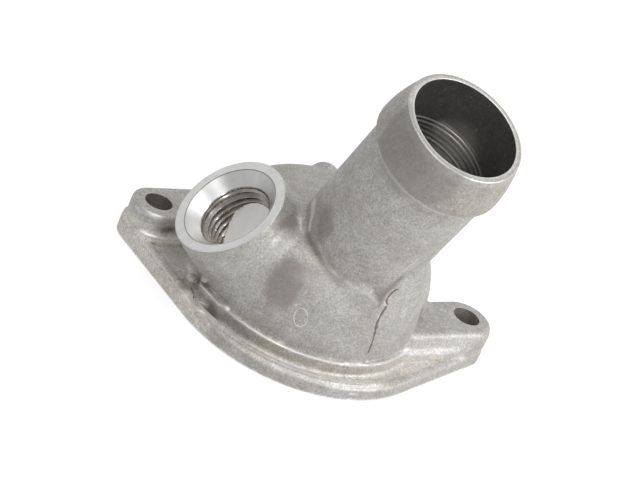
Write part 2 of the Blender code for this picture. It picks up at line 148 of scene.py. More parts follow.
# Gusset under the neck: a lobe that narrows on its right side towards the top, as a sector in plan
# with its start, foot end and top end in degrees, and a low shelf to its left
LOBE = (-62.5, -30.0, -50.0)
LOBE_ROUND = 2.2 * MM
LOBE_HEIGHT = 31.0 * MM
LOBE_FOOT_INSET = 1.2 * MM
LOBE_FOOT_TOP = 3.0 * MM
LOBE_FOOT_END = 2.5 * MM
LOBE_DEPTH = 4.0 * MM
LOBE_TOP_EDGE = 1.0 * MM
SHELF = ((4.4 * MM, -20.4 * MM), (10.6 * MM, -20.8 * MM), 3.4 * MM)
SHELF_HEIGHT = 23.6 * MM
SHELF_FALL = 0.33
SHELF_LEAN = 1.6
SHELF_FRONT = -23.8 * MM
SHELF_EDGE = 0.5 * MM
SHELF_TOP_EDGE = 0.8 * MM
SHELF_FILLET = 0.4 * MM

# Hose neck
NECK_LENGTH = 70.7 * MM
NECK_START = 12.0 * MM
NECK_RADIUS = 13.75 * MM
NECK_BORE_RADIUS = 11.9 * MM
MOUTH_RADIUS = 13.2 * MM
MOUTH_EDGE = 0.35 * MM
MOUTH_INNER_EDGE = 0.15 * MM
MOUTH_EDGE_SHARE = 0.45
BEAD_RADIUS = 15.0 * MM
BEAD_LENGTH = 9.8 * MM
BEAD_STEP = 0.45 * MM
BEAD_STEP_START = 0.1 * MM
SLEEVE_COVER = 0.12 * MM
UNDER_TO_OVER = 1.3
SLEEVE_CROSSING = 24.0 * MM
SLEEVE_END = 30.0 * MM
SLEEVE_THICKNESS = 0.5 * MM
SLEEVE_BORE_END = 38.0 * MM

# Threaded side port
PORT_LENGTH = 37.4 * MM
PORT_DROP = 2.0 * MM
PORT_START = 19.0 * MM
PORT_RADIUS = 12.9 * MM
PORT_DRAFT = 0.03
PORT_EDGE = 0.25 * MM
FACE_SIDE = 2.2 * MM
FACE_SKIN_DEPTH = 3.2 * MM
CHAMFER_RADIUS = 10.6 * MM
CHAMFER_SLOPE = 1.15
CONE_CLEARANCE = 0.12 * MM
FACE_COVER = 0.15 * MM
THREAD_PITCH = 1.5 * MM
THREAD_CREST = 7.2 * MM
THREAD_ROOT = 8.05 * MM
THREAD_SLEEVE = 9.0 * MM
THREAD_BACKING = 0.3 * MM
CONE_SINK = 0.03 * MM
THREAD_TOP = 3.1 * MM
GROOVE_WIDTH = 1.35
GROOVE_FLANK = 3.0
FLANK_SCALE = 0.6
BORE_INNER_END = 13.0 * MM

# Turned ridges inside the neck, by depth below the mouth; they fade from sight along X
RIDGE_START = 11.3 * MM
RIDGE_END = 19.0 * MM
RIDGE_PITCH = 1.15 * MM
RIDGE_HEIGHT = 0.2 * MM
RIDGE_FADE_START = 14.5 * MM
RIDGE_FADE_END = 19.0 * MM

# Lines left by the die, as points in mm on the surface: the seam down the body's front, the hook
# at its top, its short end on the step, the mark by the left land, and the fine line up the neck
SEAM = ((12.8, -22.6, 21.7), (12.7, -22.7, 20.8), (12.5, -22.8, 20.0), (12.5, -23.0, 18.5),
        (12.5, -23.1, 16.9), (13.0, -22.8, 15.2), (13.4, -22.6, 13.7), (13.8, -22.0, 11.4),
        (14.1, -21.9, 9.7), (14.4, -21.6, 7.6))
SEAM_HOOK = ((14.3, -21.7, 25.6), (13.6, -22.2, 25.4), (13.1, -22.4, 24.9), (12.8, -22.6, 24.1),
             (12.5, -22.8, 23.1), (12.6, -22.8, 22.3), (13.0, -22.5, 21.5), (13.4, -22.3, 21.5))
SEAM_FOOT = ((14.3, -21.7, 5.9), (14.4, -22.3, 5.4), (14.9, -22.6, 4.7))
PIN_MARK = ((-25.9, -14.2, 3.9), (-25.1, -16.0, 3.9), (-24.7, -18.0, 3.9), (-24.7, -19.6, 3.6))
NECK_LINE = ((12.4, -23.2, 29.5), (13.5, -23.8, 32.7), (14.3, -24.8, 36.1), (15.2, -26.1, 40.1),
             (16.0, -27.0, 43.3), (16.8, -27.9, 46.5), (17.3, -29.0, 49.6))
OVAL_CENTRE = (-3.0, -25.8, 13.1)
OVAL_ACROSS = (1.35, 0.0, 0.7)
OVAL_UP = (-0.75, 0.0, 2.15)

# The same lines with their widths and heights in mm
SEAM_LINES = ((SEAM, 0.95, 0.08), (SEAM_HOOK, 0.8, 0.08), (SEAM_FOOT, 0.6, 0.06),
              (PIN_MARK, 0.5, 0.06))
NECK_LINE_SIZE = (0.45, 0.06)
OVAL_LINE_SIZE = (0.32, 0.06)
LINE_STEP = 0.25 * MM
LINE_TAPER = 1.5 * MM
LINE_SUNK = 0.04 * MM
LINE_SWELL = 0.25
LINE_WAVE = 0.45 * MM

# Places made paler as painted light, as a share and smooth steps by a coordinate or the outline
# distance, in mm: the rim, the left floor, and the channel
PAINTED_LIGHT_PATCHES = ((0.3, (("outline", -2.9, -2.2), ("z", 2.7, 3.2), ("z", 5.2, 4.4))),
          (0.8, (("x", -17.0, -22.0), ("z", 8.0, 5.0))),
          (0.7, (("x", -15.0, -6.0), ("outline", -1.6, -2.2), ("z", 5.2, 4.6))))

# The painted highlight on the edge of the step round the body, and the plain skin at the rims of
# the bolt holes
STEP_HIGHLIGHT_LINE = (-0.1 * MM, 0.4 * MM)
STEP_HIGHLIGHT_SHARE = 0.3
STEP_HIGHLIGHT_BOTTOM = (4.8 * MM, 5.2 * MM)
STEP_HIGHLIGHT_TOP = (7.0 * MM, 6.2 * MM)
HOLE_RIM = (0.4 * MM, 1.2 * MM)

# The painted highlight band and the painted shadow line behind the bead, each as a centre and a
# width
BEHIND_BEAD_HIGHLIGHT_BAND = (1.0 * MM, 0.6 * MM)
BEHIND_BEAD_HIGHLIGHT_SHARE = 0.16
BEHIND_BEAD_SHADOW_LINE = (-0.1 * MM, 0.3 * MM)
BEHIND_BEAD_SHADOW_SHARE = 0.95
# Depths over which the bead's painted shade sets in
BEAD_SHADE_START = (0.8 * MM, 2.0 * MM)

# Lines of painted shade along creases and of painted highlight on crests and edges, as points in
# mm on the surface, with a width and a share
PAINTED_SHADE_STROKES = (
    (((13.3, -22.5, 28.8), (12.7, -22.7, 27.3), (12.0, -23.1, 25.8), (11.4, -23.3, 24.2),
      (11.2, -23.3, 22.5), (11.4, -23.7, 21.3)), 0.75 * MM, 1.0),
    (((-7.3, -16.7, 26.5), (-5.7, -18.8, 25.9), (-3.4, -21.0, 24.9), (-0.8, -22.5, 23.8),
      (1.4, -23.3, 22.9)), 0.8 * MM, 0.75),
    (((2.4, -23.2, 24.8), (4.8, -23.3, 24.6), (6.6, -23.4, 25.5), (8.1, -23.9, 27.5)),
     0.8 * MM, 0.4),
    (((23.3, -11.3, 16.8), (24.6, -8.4, 13.4), (25.3, -6.1, 10.6), (26.1, -2.0, 9.8)),
     1.0 * MM, 0.8))
# Painted highlights on crests, fillets and edges
PAINTED_HIGHLIGHT_STROKES = (
    (((-5.1, -19.5, 27.9), (-3.7, -20.5, 26.3), (-2.0, -21.5, 24.8), (-0.1, -22.3, 24.2),
      (1.9, -23.0, 23.9), (4.4, -23.6, 23.3), (6.8, -23.6, 23.0), (9.0, -23.5, 22.6),
      (11.0, -23.6, 21.6)), 0.6 * MM, 0.19),
    (((-8.5, -10.4, 32.0), (-8.4, -12.5, 32.0), (-8.1, -14.2, 31.0)), 0.95 * MM, 0.6),
    (((-8.1, -14.2, 31.0), (-7.9, -15.0, 29.5), (-7.6, -15.9, 28.1)), 0.5 * MM, 0.5),
    (((-42.3, 1.9, 8.5), (-40.0, 0.4, 8.8), (-36.6, 0.2, 8.7)), 0.8 * MM, 0.26),
    (((-40.4, -0.8, 4.3), (-38.6, -1.1, 4.4), (-35.8, -0.6, 4.4), (-33.8, 0.0, 4.4)),
     0.6 * MM, 0.28),
    (((-39.1, -2.6, 4.1), (-36.5, -5.7, 4.1), (-33.7, -9.1, 4.1), (-30.7, -12.6, 4.1)),
     0.4 * MM, 0.3))

# Fillets, and where along Y and X they grow towards the back
NECK_FILLET_FRONT = 0.6 * MM
NECK_FILLET_BACK = 2.6 * MM
NECK_FILLET_TURN = (-17.0 * MM, -11.5 * MM)
PORT_FILLET = 2.4 * MM
GUSSET_FILLET = 1.0 * MM
FOOT_FILLET = 0.5 * MM
FOOT_FILLET_BACK = 3.4 * MM
WEB_ACROSS = (12.0 * MM, 20.0 * MM)
WEB_BACK = (0.0, 5.0 * MM)
SMALL_FILLET = 0.5 * MM

# How finely the surface is worked out
GRID_STEP = 0.67 * MM
GRID_STEP_ACROSS = 0.56 * MM
FINE_STEP = 0.44 * MM
FINE_BELOW = 10.5 * MM
FINE_ABOVE = 61.0 * MM
GRID_MARGIN = 1.0 * MM
SHARP_ANGLE = math.radians(38.0)
THREAD_STEP = 0.2 * MM
SLOPE_STEP = 0.01 * MM
AROUND = 220

# How far the hollows are felt for their painted shade, and the edges for their paler tint
NEAR_REACH = 0.9 * MM
WIDE_REACH = 3.5 * MM
EDGE_REACH = 0.5 * MM

# Colours of the skins, with tints for painted shade, painted light and edges that are paler partly
# as wear and partly as painted highlight; the cast skin's stains and patches of painted shade as
# (place, stretch, radius, colour, share), and the bore's painted patches of light as (place,
# radius, colour, share), with places and radii in mm
CAST_DARK = (0.535, 0.515, 0.475)
CAST_LIGHT = (0.605, 0.595, 0.57)
# Painted shade, browner, for near and wide hollows
HOLLOW_SHADE_TINT = (0.50, 0.46, 0.42)
WIDE_HOLLOW_SHADE_TINT = (0.62, 0.59, 0.56)
# Edges paler, partly as wear and partly as painted highlight
EDGE_WEAR_AND_HIGHLIGHT_TINT = (0.91, 0.90, 0.88)
# Painted light, which makes places paler
PAINTED_LIGHT_TINT = (1.42, 1.41, 1.38)
# Painted shade along creases
PAINTED_SHADE_LINE_TINT = (0.27, 0.25, 0.22)
# Painted shade on the bead
BEAD_SHADE_TINT = (0.90, 0.885, 0.865)
SEAM_COLOUR = (0.17, 0.152, 0.13)
MARK_COLOUR = (0.78, 0.77, 0.74)
STAIN_AND_SHADE_WOBBLE = 2.6 * MM
STAIN_AND_SHADE_CORE = 0.3
PATCH_CORE = 0.2
STAINS_AND_PAINTED_SHADE = (((-8.8, -23.8, 18.6), (1.0, 1.0, 0.58), 3.3, (0.34, 0.31, 0.30), 0.75),
          ((-5.6, -19.4, 32.8), (1.0, 1.0, 0.6), 2.0, (0.31, 0.28, 0.285), 0.65),
          ((-12.5, -15.8, 28.0), (0.8, 0.8, 2.6), 2.4, (0.34, 0.31, 0.28), 0.6),
          ((-3.2, -24.0, 21.6), (1.0, 1.0, 1.0), 2.0, (0.40, 0.365, 0.35), 0.4),
          # Painted shade on the bead's front
          ((3.0, -33.0, 62.0), (1.0, 1.0, 0.9), 10.0, (0.35, 0.34, 0.32), 0.6),
          # Painted shade at the channel's left end by the block
          ((-19.3, -18.9, 2.4), (0.8, 0.8, 0.8), 1.6, (0.22, 0.20, 0.185), 0.7),
          # Painted shade on the left lug's wall
          ((-34.0, 1.4, 6.2), (0.7, 0.7, 1.5), 1.0, (0.14, 0.12, 0.10), 0.85),
          ((-24.6, -21.8, 19.0), (0.7, 0.7, 0.8), 1.6, (0.42, 0.41, 0.39), 0.45),
          ((-26.0, -18.2, 4.1), (1.0, 0.6, 1.0), 0.5, (0.86, 0.85, 0.83), 0.7))
BORE_SKIN_START = 40.0 * MM
BORE_PATCHES = (((14.3, -7.9, 55.6), 7.5, (0.62, 0.60, 0.57), 0.75),
                ((10.6, -7.3, 57.2), 3.2, (0.80, 0.79, 0.77), 0.6))

# Light
BRIGHT_SIDE = (0.95, 0.25, -0.1)
BRIGHT_SIDE_STRENGTH = 0.75
DARK_SIDE_STRENGTH = 0.25
FLOOR_REACH = 3.0
FLOOR_GAP = 0.2 * MM
FLOOR_WHITE = 1.12
FLOOR_SHARE = 0.72
FLOOR_GLOW_SPREAD = 0.15
FLOOR_GLOW_DARK = 0.5
FLOOR_GLOW_BRIGHT = 0.95

# Camera, from the photograph: place in the seat's frame, and the directions of its axes
CAMERA_PLACE = (-54.5 * MM, -315.3 * MM, 189.2 * MM)
CAMERA_FORWARD = (0.1449, 0.8696, -0.4719)
CAMERA_RIGHT = (0.9263, 0.0485, 0.3736)
FOCAL_PIXELS = 1626.6
PHOTO_WIDTH = 640
SENSOR_WIDTH = 36.0

SEAT = np.array([0.0, cad_box[1][1] - FLANGE_RADIUS, 0.0])
MOUNTS = {mount["name"]: mount for mount in frame["record"]["mounts"]}


def unit(vector):
    v = np.array(vector, dtype=float)
    return v / np.linalg.norm(v)


NECK_AXIS = unit(MOUNTS["hose_neck_mouth"]["axis"])
PORT_AXIS = unit(MOUNTS["side_port_face"]["axis"])
PORT_ORIGIN = np.array([0.0, 0.0, -PORT_DROP])


def joined(a, b, radius):
    """Distance to two solids together, with a round fillet in the corner between them."""
    u = np.maximum(radius - a, 0.0)
    v = np.maximum(radius - b, 0.0)
    return np.maximum(radius, np.minimum(a, b)) - np.hypot(u, v)


def shared(a, b, radius):
    """Distance to what two solids have in common, with the edge between them rounded."""
    u = np.maximum(radius + a, 0.0)
    v = np.maximum(radius + b, 0.0)
    return np.minimum(-radius, np.maximum(a, b)) + np.hypot(u, v)


def cut(a, b, radius):
    """Distance to a solid with another taken out of it, with the rim rounded."""
    return shared(a, -b, radius)


def between(low, high, share):
    """Value at a share of the way from one value to another."""
    return low + (high - low) * share


def bell(value, centre, width):
    """1 at the centre, and less on both sides as a bell curve."""
    return np.exp(-((value - centre) / width) ** 2)


def smooth_step(value, start, end):
    """Rises from 0 to 1 between two values, without a corner at either."""
    t = np.clip((value - start) / (end - start), 0.0, 1.0)
    return t * t * (3.0 - 2.0 * t)


def outline_distance(x, y):
    """Distance outside the flange's outline: the round seat, the ears and their outer tangents."""
    ex = BOLT_SPACING / 2
    reach = math.hypot(ex, BOLT_LINE_OFFSET)
    ux = ex / reach
    uy = BOLT_LINE_OFFSET / reach
    px = np.abs(x)
    along = px * ux + y * uy
    off = np.abs(y * ux - px * uy)
    sine = (FLANGE_RADIUS - EAR_RADIUS) / reach
    cosine = math.sqrt(1.0 - sine * sine)
    k = cosine * along - sine * off
    body = np.hypot(along, off) - FLANGE_RADIUS
    ear = np.hypot(along - reach, off) - EAR_RADIUS
    side = cosine * off + sine * along - FLANGE_RADIUS
    return np.where(k < 0.0, body, np.where(k > cosine * reach, ear, side))


def along_and_off(x, y, z, origin, axis):
    """Distance along an axis from its origin, and distance from the axis."""
    px, py, pz = x - origin[0], y - origin[1], z - origin[2]
    along = px * axis[0] + py * axis[1] + pz * axis[2]
    off = np.sqrt(np.maximum(px * px + py * py + pz * pz - along * along, 0.0))
    return along, off


def flange_field(x, y, z):
    """Plate with a soft rim, a raised lip, and a channel inside the lip.

    The step up to the lip fades out to the left, where the rim is plain. Towards the right ear the
    lip sinks and the channel's floor rises, until one slope runs from the rim up to the lug.
    """
    outline = outline_distance(x, y)
    plain = smooth_step(x, *PLAIN_RIM)
    fading = smooth_step(x, *LIP_FADE)
    rising = smooth_step(x, *FLOOR_RISE)
    step = between(LIP_STEP, LIP_STEP_LEFT, plain)
    plate = shared(outline, z - EDGE_HEIGHT, between(RIM_ROUND, LIP_ROUND, plain))
    crest = between(LIP_HEIGHT, EDGE_HEIGHT - LIP_SINK, fading)
    plate = joined(plate, shared(outline + step, z - crest, LIP_ROUND), LIP_ROUND)
    slope = EDGE_HEIGHT - RIGHT_DROP + RIGHT_SLOPE * np.clip(-outline, 0.0, RIGHT_SLOPE_LENGTH)
    floor = between(between(CHANNEL_FLOOR, CHANNEL_FLOOR_LEFT, plain), slope, rising)
    channel = shared(outline + LIP_INNER, floor - z, CHANNEL_ROUND)
    return cut(plate, channel, between(CHANNEL_EDGE, CHANNEL_EDGE_RIGHT, rising))


def strip_field(x, y, z, start, end, radius, height, edge):
    """Upright strip with round ends between two places in plan."""
    dx, dy = end[0] - start[0], end[1] - start[1]
    px, py = x - start[0], y - start[1]
    t = np.clip((px * dx + py * dy) / (dx * dx + dy * dy), 0.0, 1.0)
    return shared(np.hypot(px - t * dx, py - t * dy) - radius, z - height, edge)


def lug_fields(x, y, z):
    """The two lugs with their ledges, and the lands and block that close the channel."""
    outline = outline_distance(x, y)
    raised = None
    for side, draft, half_width, ledge_height, ledge_start in LEDGES:
        hole = np.array([side * BOLT_SPACING / 2, BOLT_LINE_OFFSET])
        inward = -side * np.array([math.cos(LUG_ANGLE), math.sin(LUG_ANGLE)])
        end = hole + LUG_LENGTH * inward
        flare = LUG_HALF_WIDTH + draft * np.clip(PAD_HEIGHT - z, 0.0, PAD_HEIGHT - ledge_height)
        lug = strip_field(x, y, z, hole, end, flare, PAD_HEIGHT, PAD_EDGE)
        ledge = strip_field(x, y, z, hole + ledge_start * inward, end, half_width, ledge_height,
                            LEDGE_EDGE)
        lug = joined(lug, ledge, LEDGE_FILLET)
        raised = lug if raised is None else np.minimum(raised, lug)
    raised = joined(raised, strip_field(x, y, z, *LEFT_LAND, LAND_EDGE), SMALL_FILLET)
    raised = joined(raised, strip_field(x, y, z, *BLOCK, BLOCK_EDGE), BLOCK_EDGE)
    setback = np.where(x < 0.0, PAD_SETBACK_LEFT, PAD_SETBACK_RIGHT)
    return shared(raised, outline + setback, LUG_FRONT_EDGE)


def ball_field(x, y, z, centre, radius):
    return np.sqrt((x - centre[0]) ** 2 + (y - centre[1]) ** 2 + (z - centre[2]) ** 2) - radius


def body_field(x, y, z, radius, height, shoulder):
    """Round body with a flat top and a rounded shoulder."""
    out = np.hypot(x, y) - (radius - shoulder)
    up = z - (height - shoulder)
    outside = np.hypot(np.maximum(out, 0.0), np.maximum(up, 0.0))
    return np.minimum(np.maximum(out, up), 0.0) + outside - shoulder


def lobe_field(x, y, z):
    """Upright sector in plan with round corners, which stands in line with the body's wall.

    Below the body's shoulder it sinks into the wall, so that it ends without an edge.
    """
    start, foot_end, top_end = LOBE
    foot = BODY_HEIGHT - BODY_SHOULDER
    t = np.clip((z - foot) / (LOBE_HEIGHT - foot), 0.0, 1.0)
    end = between(foot_end, top_end, t)
    middle = np.radians((end + start) / 2)
    half = np.radians((end - start) / 2)
    px = x * np.cos(middle) + y * np.sin(middle)
    py = np.abs(y * np.cos(middle) - x * np.sin(middle))
    edge_x, edge_y = np.cos(half), np.sin(half)
    inset = LOBE_FOOT_INSET * smooth_step(z, foot + LOBE_FOOT_TOP, foot - LOBE_FOOT_END)
    reach = BODY_RADIUS - LOBE_ROUND - inset
    along = np.clip(px * edge_x + py * edge_y, 0.0, reach)
    side = np.hypot(px - along * edge_x, py - along * edge_y) * np.sign(edge_x * py - edge_y * px)
    sector = np.maximum(np.hypot(px, py) - reach, side) - LOBE_ROUND
    return shared(np.maximum(sector, foot - LOBE_DEPTH - z), z - LOBE_HEIGHT, LOBE_TOP_EDGE)


def gusset_field(x, y, z):
    """The lobe, and the shelf, whose crest falls to the right and whose top leans to the neck."""
    crest = SHELF_HEIGHT - SHELF_FALL * (x - SHELF[0][0]) + SHELF_LEAN * (y - SHELF_FRONT)
    lean = math.hypot(1.0, SHELF_LEAN)
    strip = strip_field(x, y, z, *SHELF, LOBE_HEIGHT, SHELF_EDGE)
    shelf = shared(strip, (z - crest) / lean, SHELF_TOP_EDGE)
    return joined(lobe_field(x, y, z), shelf, SHELF_FILLET)


def neck_radius(depth):
    """Neck's radius by depth below the mouth: a sine swells to the bead's back, then a step."""
    t = np.clip(depth / BEAD_LENGTH, 0.0, 1.0)
    bead = between(MOUTH_RADIUS, BEAD_RADIUS, np.sin(t * math.pi / 2))
    step = smooth_step(depth, BEAD_LENGTH - BEAD_STEP_START, BEAD_LENGTH + BEAD_STEP)
    return between(bead, NECK_RADIUS, step)


def neck_field(x, y, z):
    """Neck, which passes under its own smooth sleeve near the mouth and over it further down."""
    along, off = along_and_off(x, y, z, np.zeros(3), NECK_AXIS)
    depth = NECK_LENGTH - along
    under = SLEEVE_COVER * (1.0 - UNDER_TO_OVER * smooth_step(depth, SLEEVE_CROSSING, SLEEVE_END))
    tube = np.maximum(off - neck_radius(depth) + under, along - NECK_LENGTH + SLEEVE_COVER)
    return np.maximum(tube, NECK_START - along)


def port_field(x, y, z):
    """Drafted round boss of the side port."""
    along, off = along_and_off(x, y, z, PORT_ORIGIN, PORT_AXIS)
    depth = PORT_LENGTH - along
    under = FACE_COVER * (1.0 - UNDER_TO_OVER * smooth_step(depth, FACE_SIDE / 2, FACE_SIDE))
    wall = off - PORT_RADIUS - PORT_DRAFT * depth + under
    return np.maximum(np.maximum(wall, FACE_COVER - depth), PORT_START - along)


def chamfer_radius(along):
    """Radius of the port's lead-in cone at a distance along its axis."""
    return CHAMFER_RADIUS - (PORT_LENGTH - along) / CHAMFER_SLOPE


def solid_field(x, y, z):
    """The casting before its bores."""
    low = joined(flange_field(x, y, z), lug_fields(x, y, z), SMALL_FILLET)
    tier = np.hypot(x, y) - TIER_RADIUS - TIER_DRAFT * (TIER_HEIGHT - z)
    low = joined(low, shared(tier, z - TIER_HEIGHT, TIER_EDGE), TIER_FILLET)
    narrow = smooth_step(z, *NARROWING_HEIGHTS) * smooth_step(y, *NARROWING_PLACES)
    narrow = 1.0 + BODY_NARROWING * narrow * (x > 0.0)
    upper = joined(body_field(x * narrow, y, z, BODY_RADIUS, BODY_HEIGHT, BODY_SHOULDER),
                   port_field(x, y, z), PORT_FILLET)
    upper = joined(upper, gusset_field(x, y, z), GUSSET_FILLET)
    fillet = between(NECK_FILLET_FRONT, NECK_FILLET_BACK, smooth_step(y, *NECK_FILLET_TURN))
    upper = joined(upper, neck_field(x, y, z), fillet)
    upper = joined(upper, ball_field(x, y, z, KNOB, KNOB_RADIUS), KNOB_FILLET)
    web = smooth_step(x, *WEB_ACROSS) * smooth_step(y, *WEB_BACK)
    solid = joined(low, upper, between(FOOT_FILLET, FOOT_FILLET_BACK, web))
    for centre, radius in LUMPS:
        solid = joined(solid, ball_field(x, y, z, centre, radius), LUMP_FILLET)
    solid = cut(solid, ball_field(x, y, z, PIT, PIT_RADIUS), PIT_EDGE)
    notch = np.maximum(np.hypot(x - NOTCH[0], y - NOTCH[1]) - NOTCH_RADIUS, z - NOTCH_TOP)
    return np.maximum(np.maximum(solid, -notch), -z)


def chamber_field(x, y, z):
    """The hollow that the thermostat and the coolant fill, with the seat and the neck's bore."""
    chamber = body_field(x, y, z, BODY_RADIUS - BODY_WALL, BODY_HEIGHT - BODY_WALL,
                         BODY_SHOULDER - BODY_WALL)
    seat = np.maximum(np.hypot(x, y) - SEAT_RADIUS, z - SEAT_DEPTH)
    along, off = along_and_off(x, y, z, np.zeros(3), NECK_AXIS)
    bore = np.maximum(off - NECK_BORE_RADIUS, BORE_INNER_END - along)
    return np.minimum(joined(chamber, bore, BORE_FILLET), seat)


def hole_distance(x, y):
    """Distance in plan from the wall of the nearer bolt hole."""
    return np.hypot(np.abs(x) - BOLT_SPACING / 2, y - BOLT_LINE_OFFSET) - BOLT_HOLE_RADIUS


def casting_field(x, y, z):
    """The casting with its chamber, bores and bolt holes, and a plain bore behind the thread."""
    solid = cut(solid_field(x, y, z), chamber_field(x, y, z), CHAMBER_EDGE)
    along, off = along_and_off(x, y, z, PORT_ORIGIN, PORT_AXIS)
    port = off - np.maximum(chamfer_radius(along) + FACE_COVER, THREAD_ROOT + THREAD_BACKING)
    port = np.maximum(port, BORE_INNER_END - along)
    return np.maximum(np.maximum(solid, -port), -hole_distance(x, y))


def frame_of(axis):
    """Three directions square to each other, of which the last is the given axis."""
    side = unit(np.cross((0.0, 0.0, 1.0), axis))
    return np.array([side, np.cross(axis, side), axis])


PORT_FRAME = frame_of(PORT_AXIS)


def thread_field(u, v, s):
    """Sleeve with a helical thread inside, in the port's own frame, cut at the chamber.

    Below the cone the thread's crest rises from nothing over one turn.
    """
    x = PORT_ORIGIN[0] + u * PORT_FRAME[0, 0] + v * PORT_FRAME[1, 0] + s * PORT_FRAME[2, 0]
    y = PORT_ORIGIN[1] + u * PORT_FRAME[0, 1] + v * PORT_FRAME[1, 1] + s * PORT_FRAME[2, 1]
    z = PORT_ORIGIN[2] + u * PORT_FRAME[0, 2] + v * PORT_FRAME[1, 2] + s * PORT_FRAME[2, 2]
    off = np.hypot(u, v)
    turn = (s / THREAD_PITCH - np.arctan2(v, u) / (2.0 * math.pi)) % 1.0
    groove = np.clip(GROOVE_WIDTH - GROOVE_FLANK * np.abs(turn - 0.5), 0.0, 1.0)
    risen = smooth_step(PORT_LENGTH - s, THREAD_TOP, THREAD_TOP + THREAD_PITCH)
    radius = between(THREAD_ROOT, THREAD_CREST, (1.0 - groove) * risen)
    sleeve = np.maximum((radius - off) * FLANK_SCALE, off - THREAD_SLEEVE)
    sleeve = np.maximum(sleeve, chamfer_radius(s + CONE_SINK) - off)
    sleeve = np.maximum(sleeve, solid_field(x, y, z))
    return np.maximum(sleeve, -chamber_field(x, y, z))


def grid_lines(low, high, step):
    return np.linspace(low, high, int(math.ceil((high - low) / step)) + 1)


def slope_at(field, points, step=SLOPE_STEP):
    """Direction in which a field grows, from differences along X, Y and Z."""
    slope = np.empty_like(points)
    for k in range(3):
        ahead = points.copy()
        behind = points.copy()
        ahead[:, k] += step
        behind[:, k] -= step
        slope[:, k] = field(*ahead.T) - field(*behind.T)
    return slope / np.maximum(np.linalg.norm(slope, axis=1), 1e-12)[:, None]


def crossing_share(low_value, high_value):
    """Share of the way between two values of unlike sign at which a straight line meets zero."""
    return low_value / np.where(low_value == high_value, 1e-12, low_value - high_value)


def surface_of(field, lines, pull=0.03):
    """Zero surface of a field, as quads with one point in each cell of a grid that it crosses.

    Each grid edge with one end inside gives a crossing, which four steps of false position
    sharpen, and the field's slope there. A cell's point lies nearest to the planes of all its
    crossings by least squares, with a small pull to their middle, and is held inside the cell, so
    flat faces stay flat and machined edges stay crisp.
    """
    counts = [len(line) for line in lines]
    cell_shape = [n - 1 for n in counts]
    grid = np.meshgrid(*(line.astype(np.float32) for line in lines), indexing="ij")
    inside = field(*grid) < 0.0
    cells_found, planes_found, quads_found = [], [], []
    for axis in range(3):
        b, c = (axis + 1) % 3, (axis + 2) % 3
        edges = np.argwhere(np.diff(inside, axis=axis))
        keep = ((edges[:, b] > 0) & (edges[:, b] < counts[b] - 1)
                & (edges[:, c] > 0) & (edges[:, c] < counts[c] - 1))
        edges = edges[keep]
        ends = edges.copy()
        ends[:, axis] += 1
        low = np.stack([lines[k][edges[:, k]] for k in range(3)], axis=1)
        high = np.stack([lines[k][ends[:, k]] for k in range(3)], axis=1)
        low_value = field(*low.T)
        high_value = field(*high.T)
        starts_inside = low_value < 0.0
        for _ in range(4):
            share = np.clip(crossing_share(low_value, high_value), 0.05, 0.95)[:, None]
            middle = low + share * (high - low)
            value = field(*middle.T)
            same = ((value < 0.0) == starts_inside)[:, None]
            low = np.where(same, middle, low)
            high = np.where(same, high, middle)
            low_value = np.where(same[:, 0], value, low_value)
            high_value = np.where(same[:, 0], high_value, value)
        share = np.clip(crossing_share(low_value, high_value), 0.0, 1.0)[:, None]
        crossing = low + share * (high - low)
        slope = slope_at(field, crossing)
        corners = []
        for db, dc in ((-1, -1), (0, -1), (0, 0), (-1, 0)):
            cell = edges.copy()
            cell[:, b] += db
            cell[:, c] += dc
            corners.append(np.ravel_multi_index(cell.T, cell_shape))
        quad = np.stack(corners, axis=1)
        quads_found.append(np.where(starts_inside[:, None], quad, quad[:, ::-1]))
        for corner in corners:
            cells_found.append(corner)
            planes_found.append(np.hstack([crossing, slope]))
    quads = np.concatenate(quads_found)
    cells, place = np.unique(np.concatenate(cells_found), return_inverse=True)
    planes = np.concatenate(planes_found)
    points, normals = planes[:, :3], planes[:, 3:]
    total = len(cells)
    count = np.bincount(place, minlength=total)
    middle = np.stack([np.bincount(place, points[:, k], total) / count for k in range(3)], axis=1)
    reach = np.sum(normals * (points - middle[place]), axis=1)
    matrix = np.zeros((total, 3, 3))
    target = np.zeros((total, 3))
    for i in range(3):
        target[:, i] = np.bincount(place, normals[:, i] * reach, total)
        for j in range(3):
            matrix[:, i, j] = np.bincount(place, normals[:, i] * normals[:, j], total)
    matrix += pull * np.eye(3)
    vertices = middle + np.linalg.solve(matrix, target[:, :, None])[:, :, 0]
    index = np.stack(np.unravel_index(cells, cell_shape), axis=1)
    lowest = np.stack([lines[k][index[:, k]] for k in range(3)], axis=1)
    highest = np.stack([lines[k][index[:, k] + 1] for k in range(3)], axis=1)
    vertices = np.clip(vertices, lowest, highest)
    return vertices, np.searchsorted(cells, quads)


def new_piece(name, vertices, quads):
    """Mesh object from points and quads, with a crease only where faces meet at a real edge."""
    mesh = bpy.data.meshes.new(name)
    mesh.vertices.add(len(vertices))
    mesh.vertices.foreach_set("co", vertices.astype(np.float32).ravel())
    mesh.loops.add(quads.size)
    mesh.loops.foreach_set("vertex_index", quads.astype(np.int32).ravel())
    mesh.polygons.add(len(quads))
    mesh.polygons.foreach_set("loop_start", np.arange(len(quads), dtype=np.int32) * quads.shape[1])
    mesh.update(calc_edges=True)
    mesh.validate()
    mesh.shade_smooth()
    mesh.set_sharp_from_angle(angle=SHARP_ANGLE)
    obj = bpy.data.objects.new(name, mesh)
    bpy.context.scene.collection.objects.link(obj)
    return obj


def in_box(vertices):
    """Keep points inside the CAD model's box."""
    return np.clip(vertices, np.array(cad_box[0]), np.array(cad_box[1]))


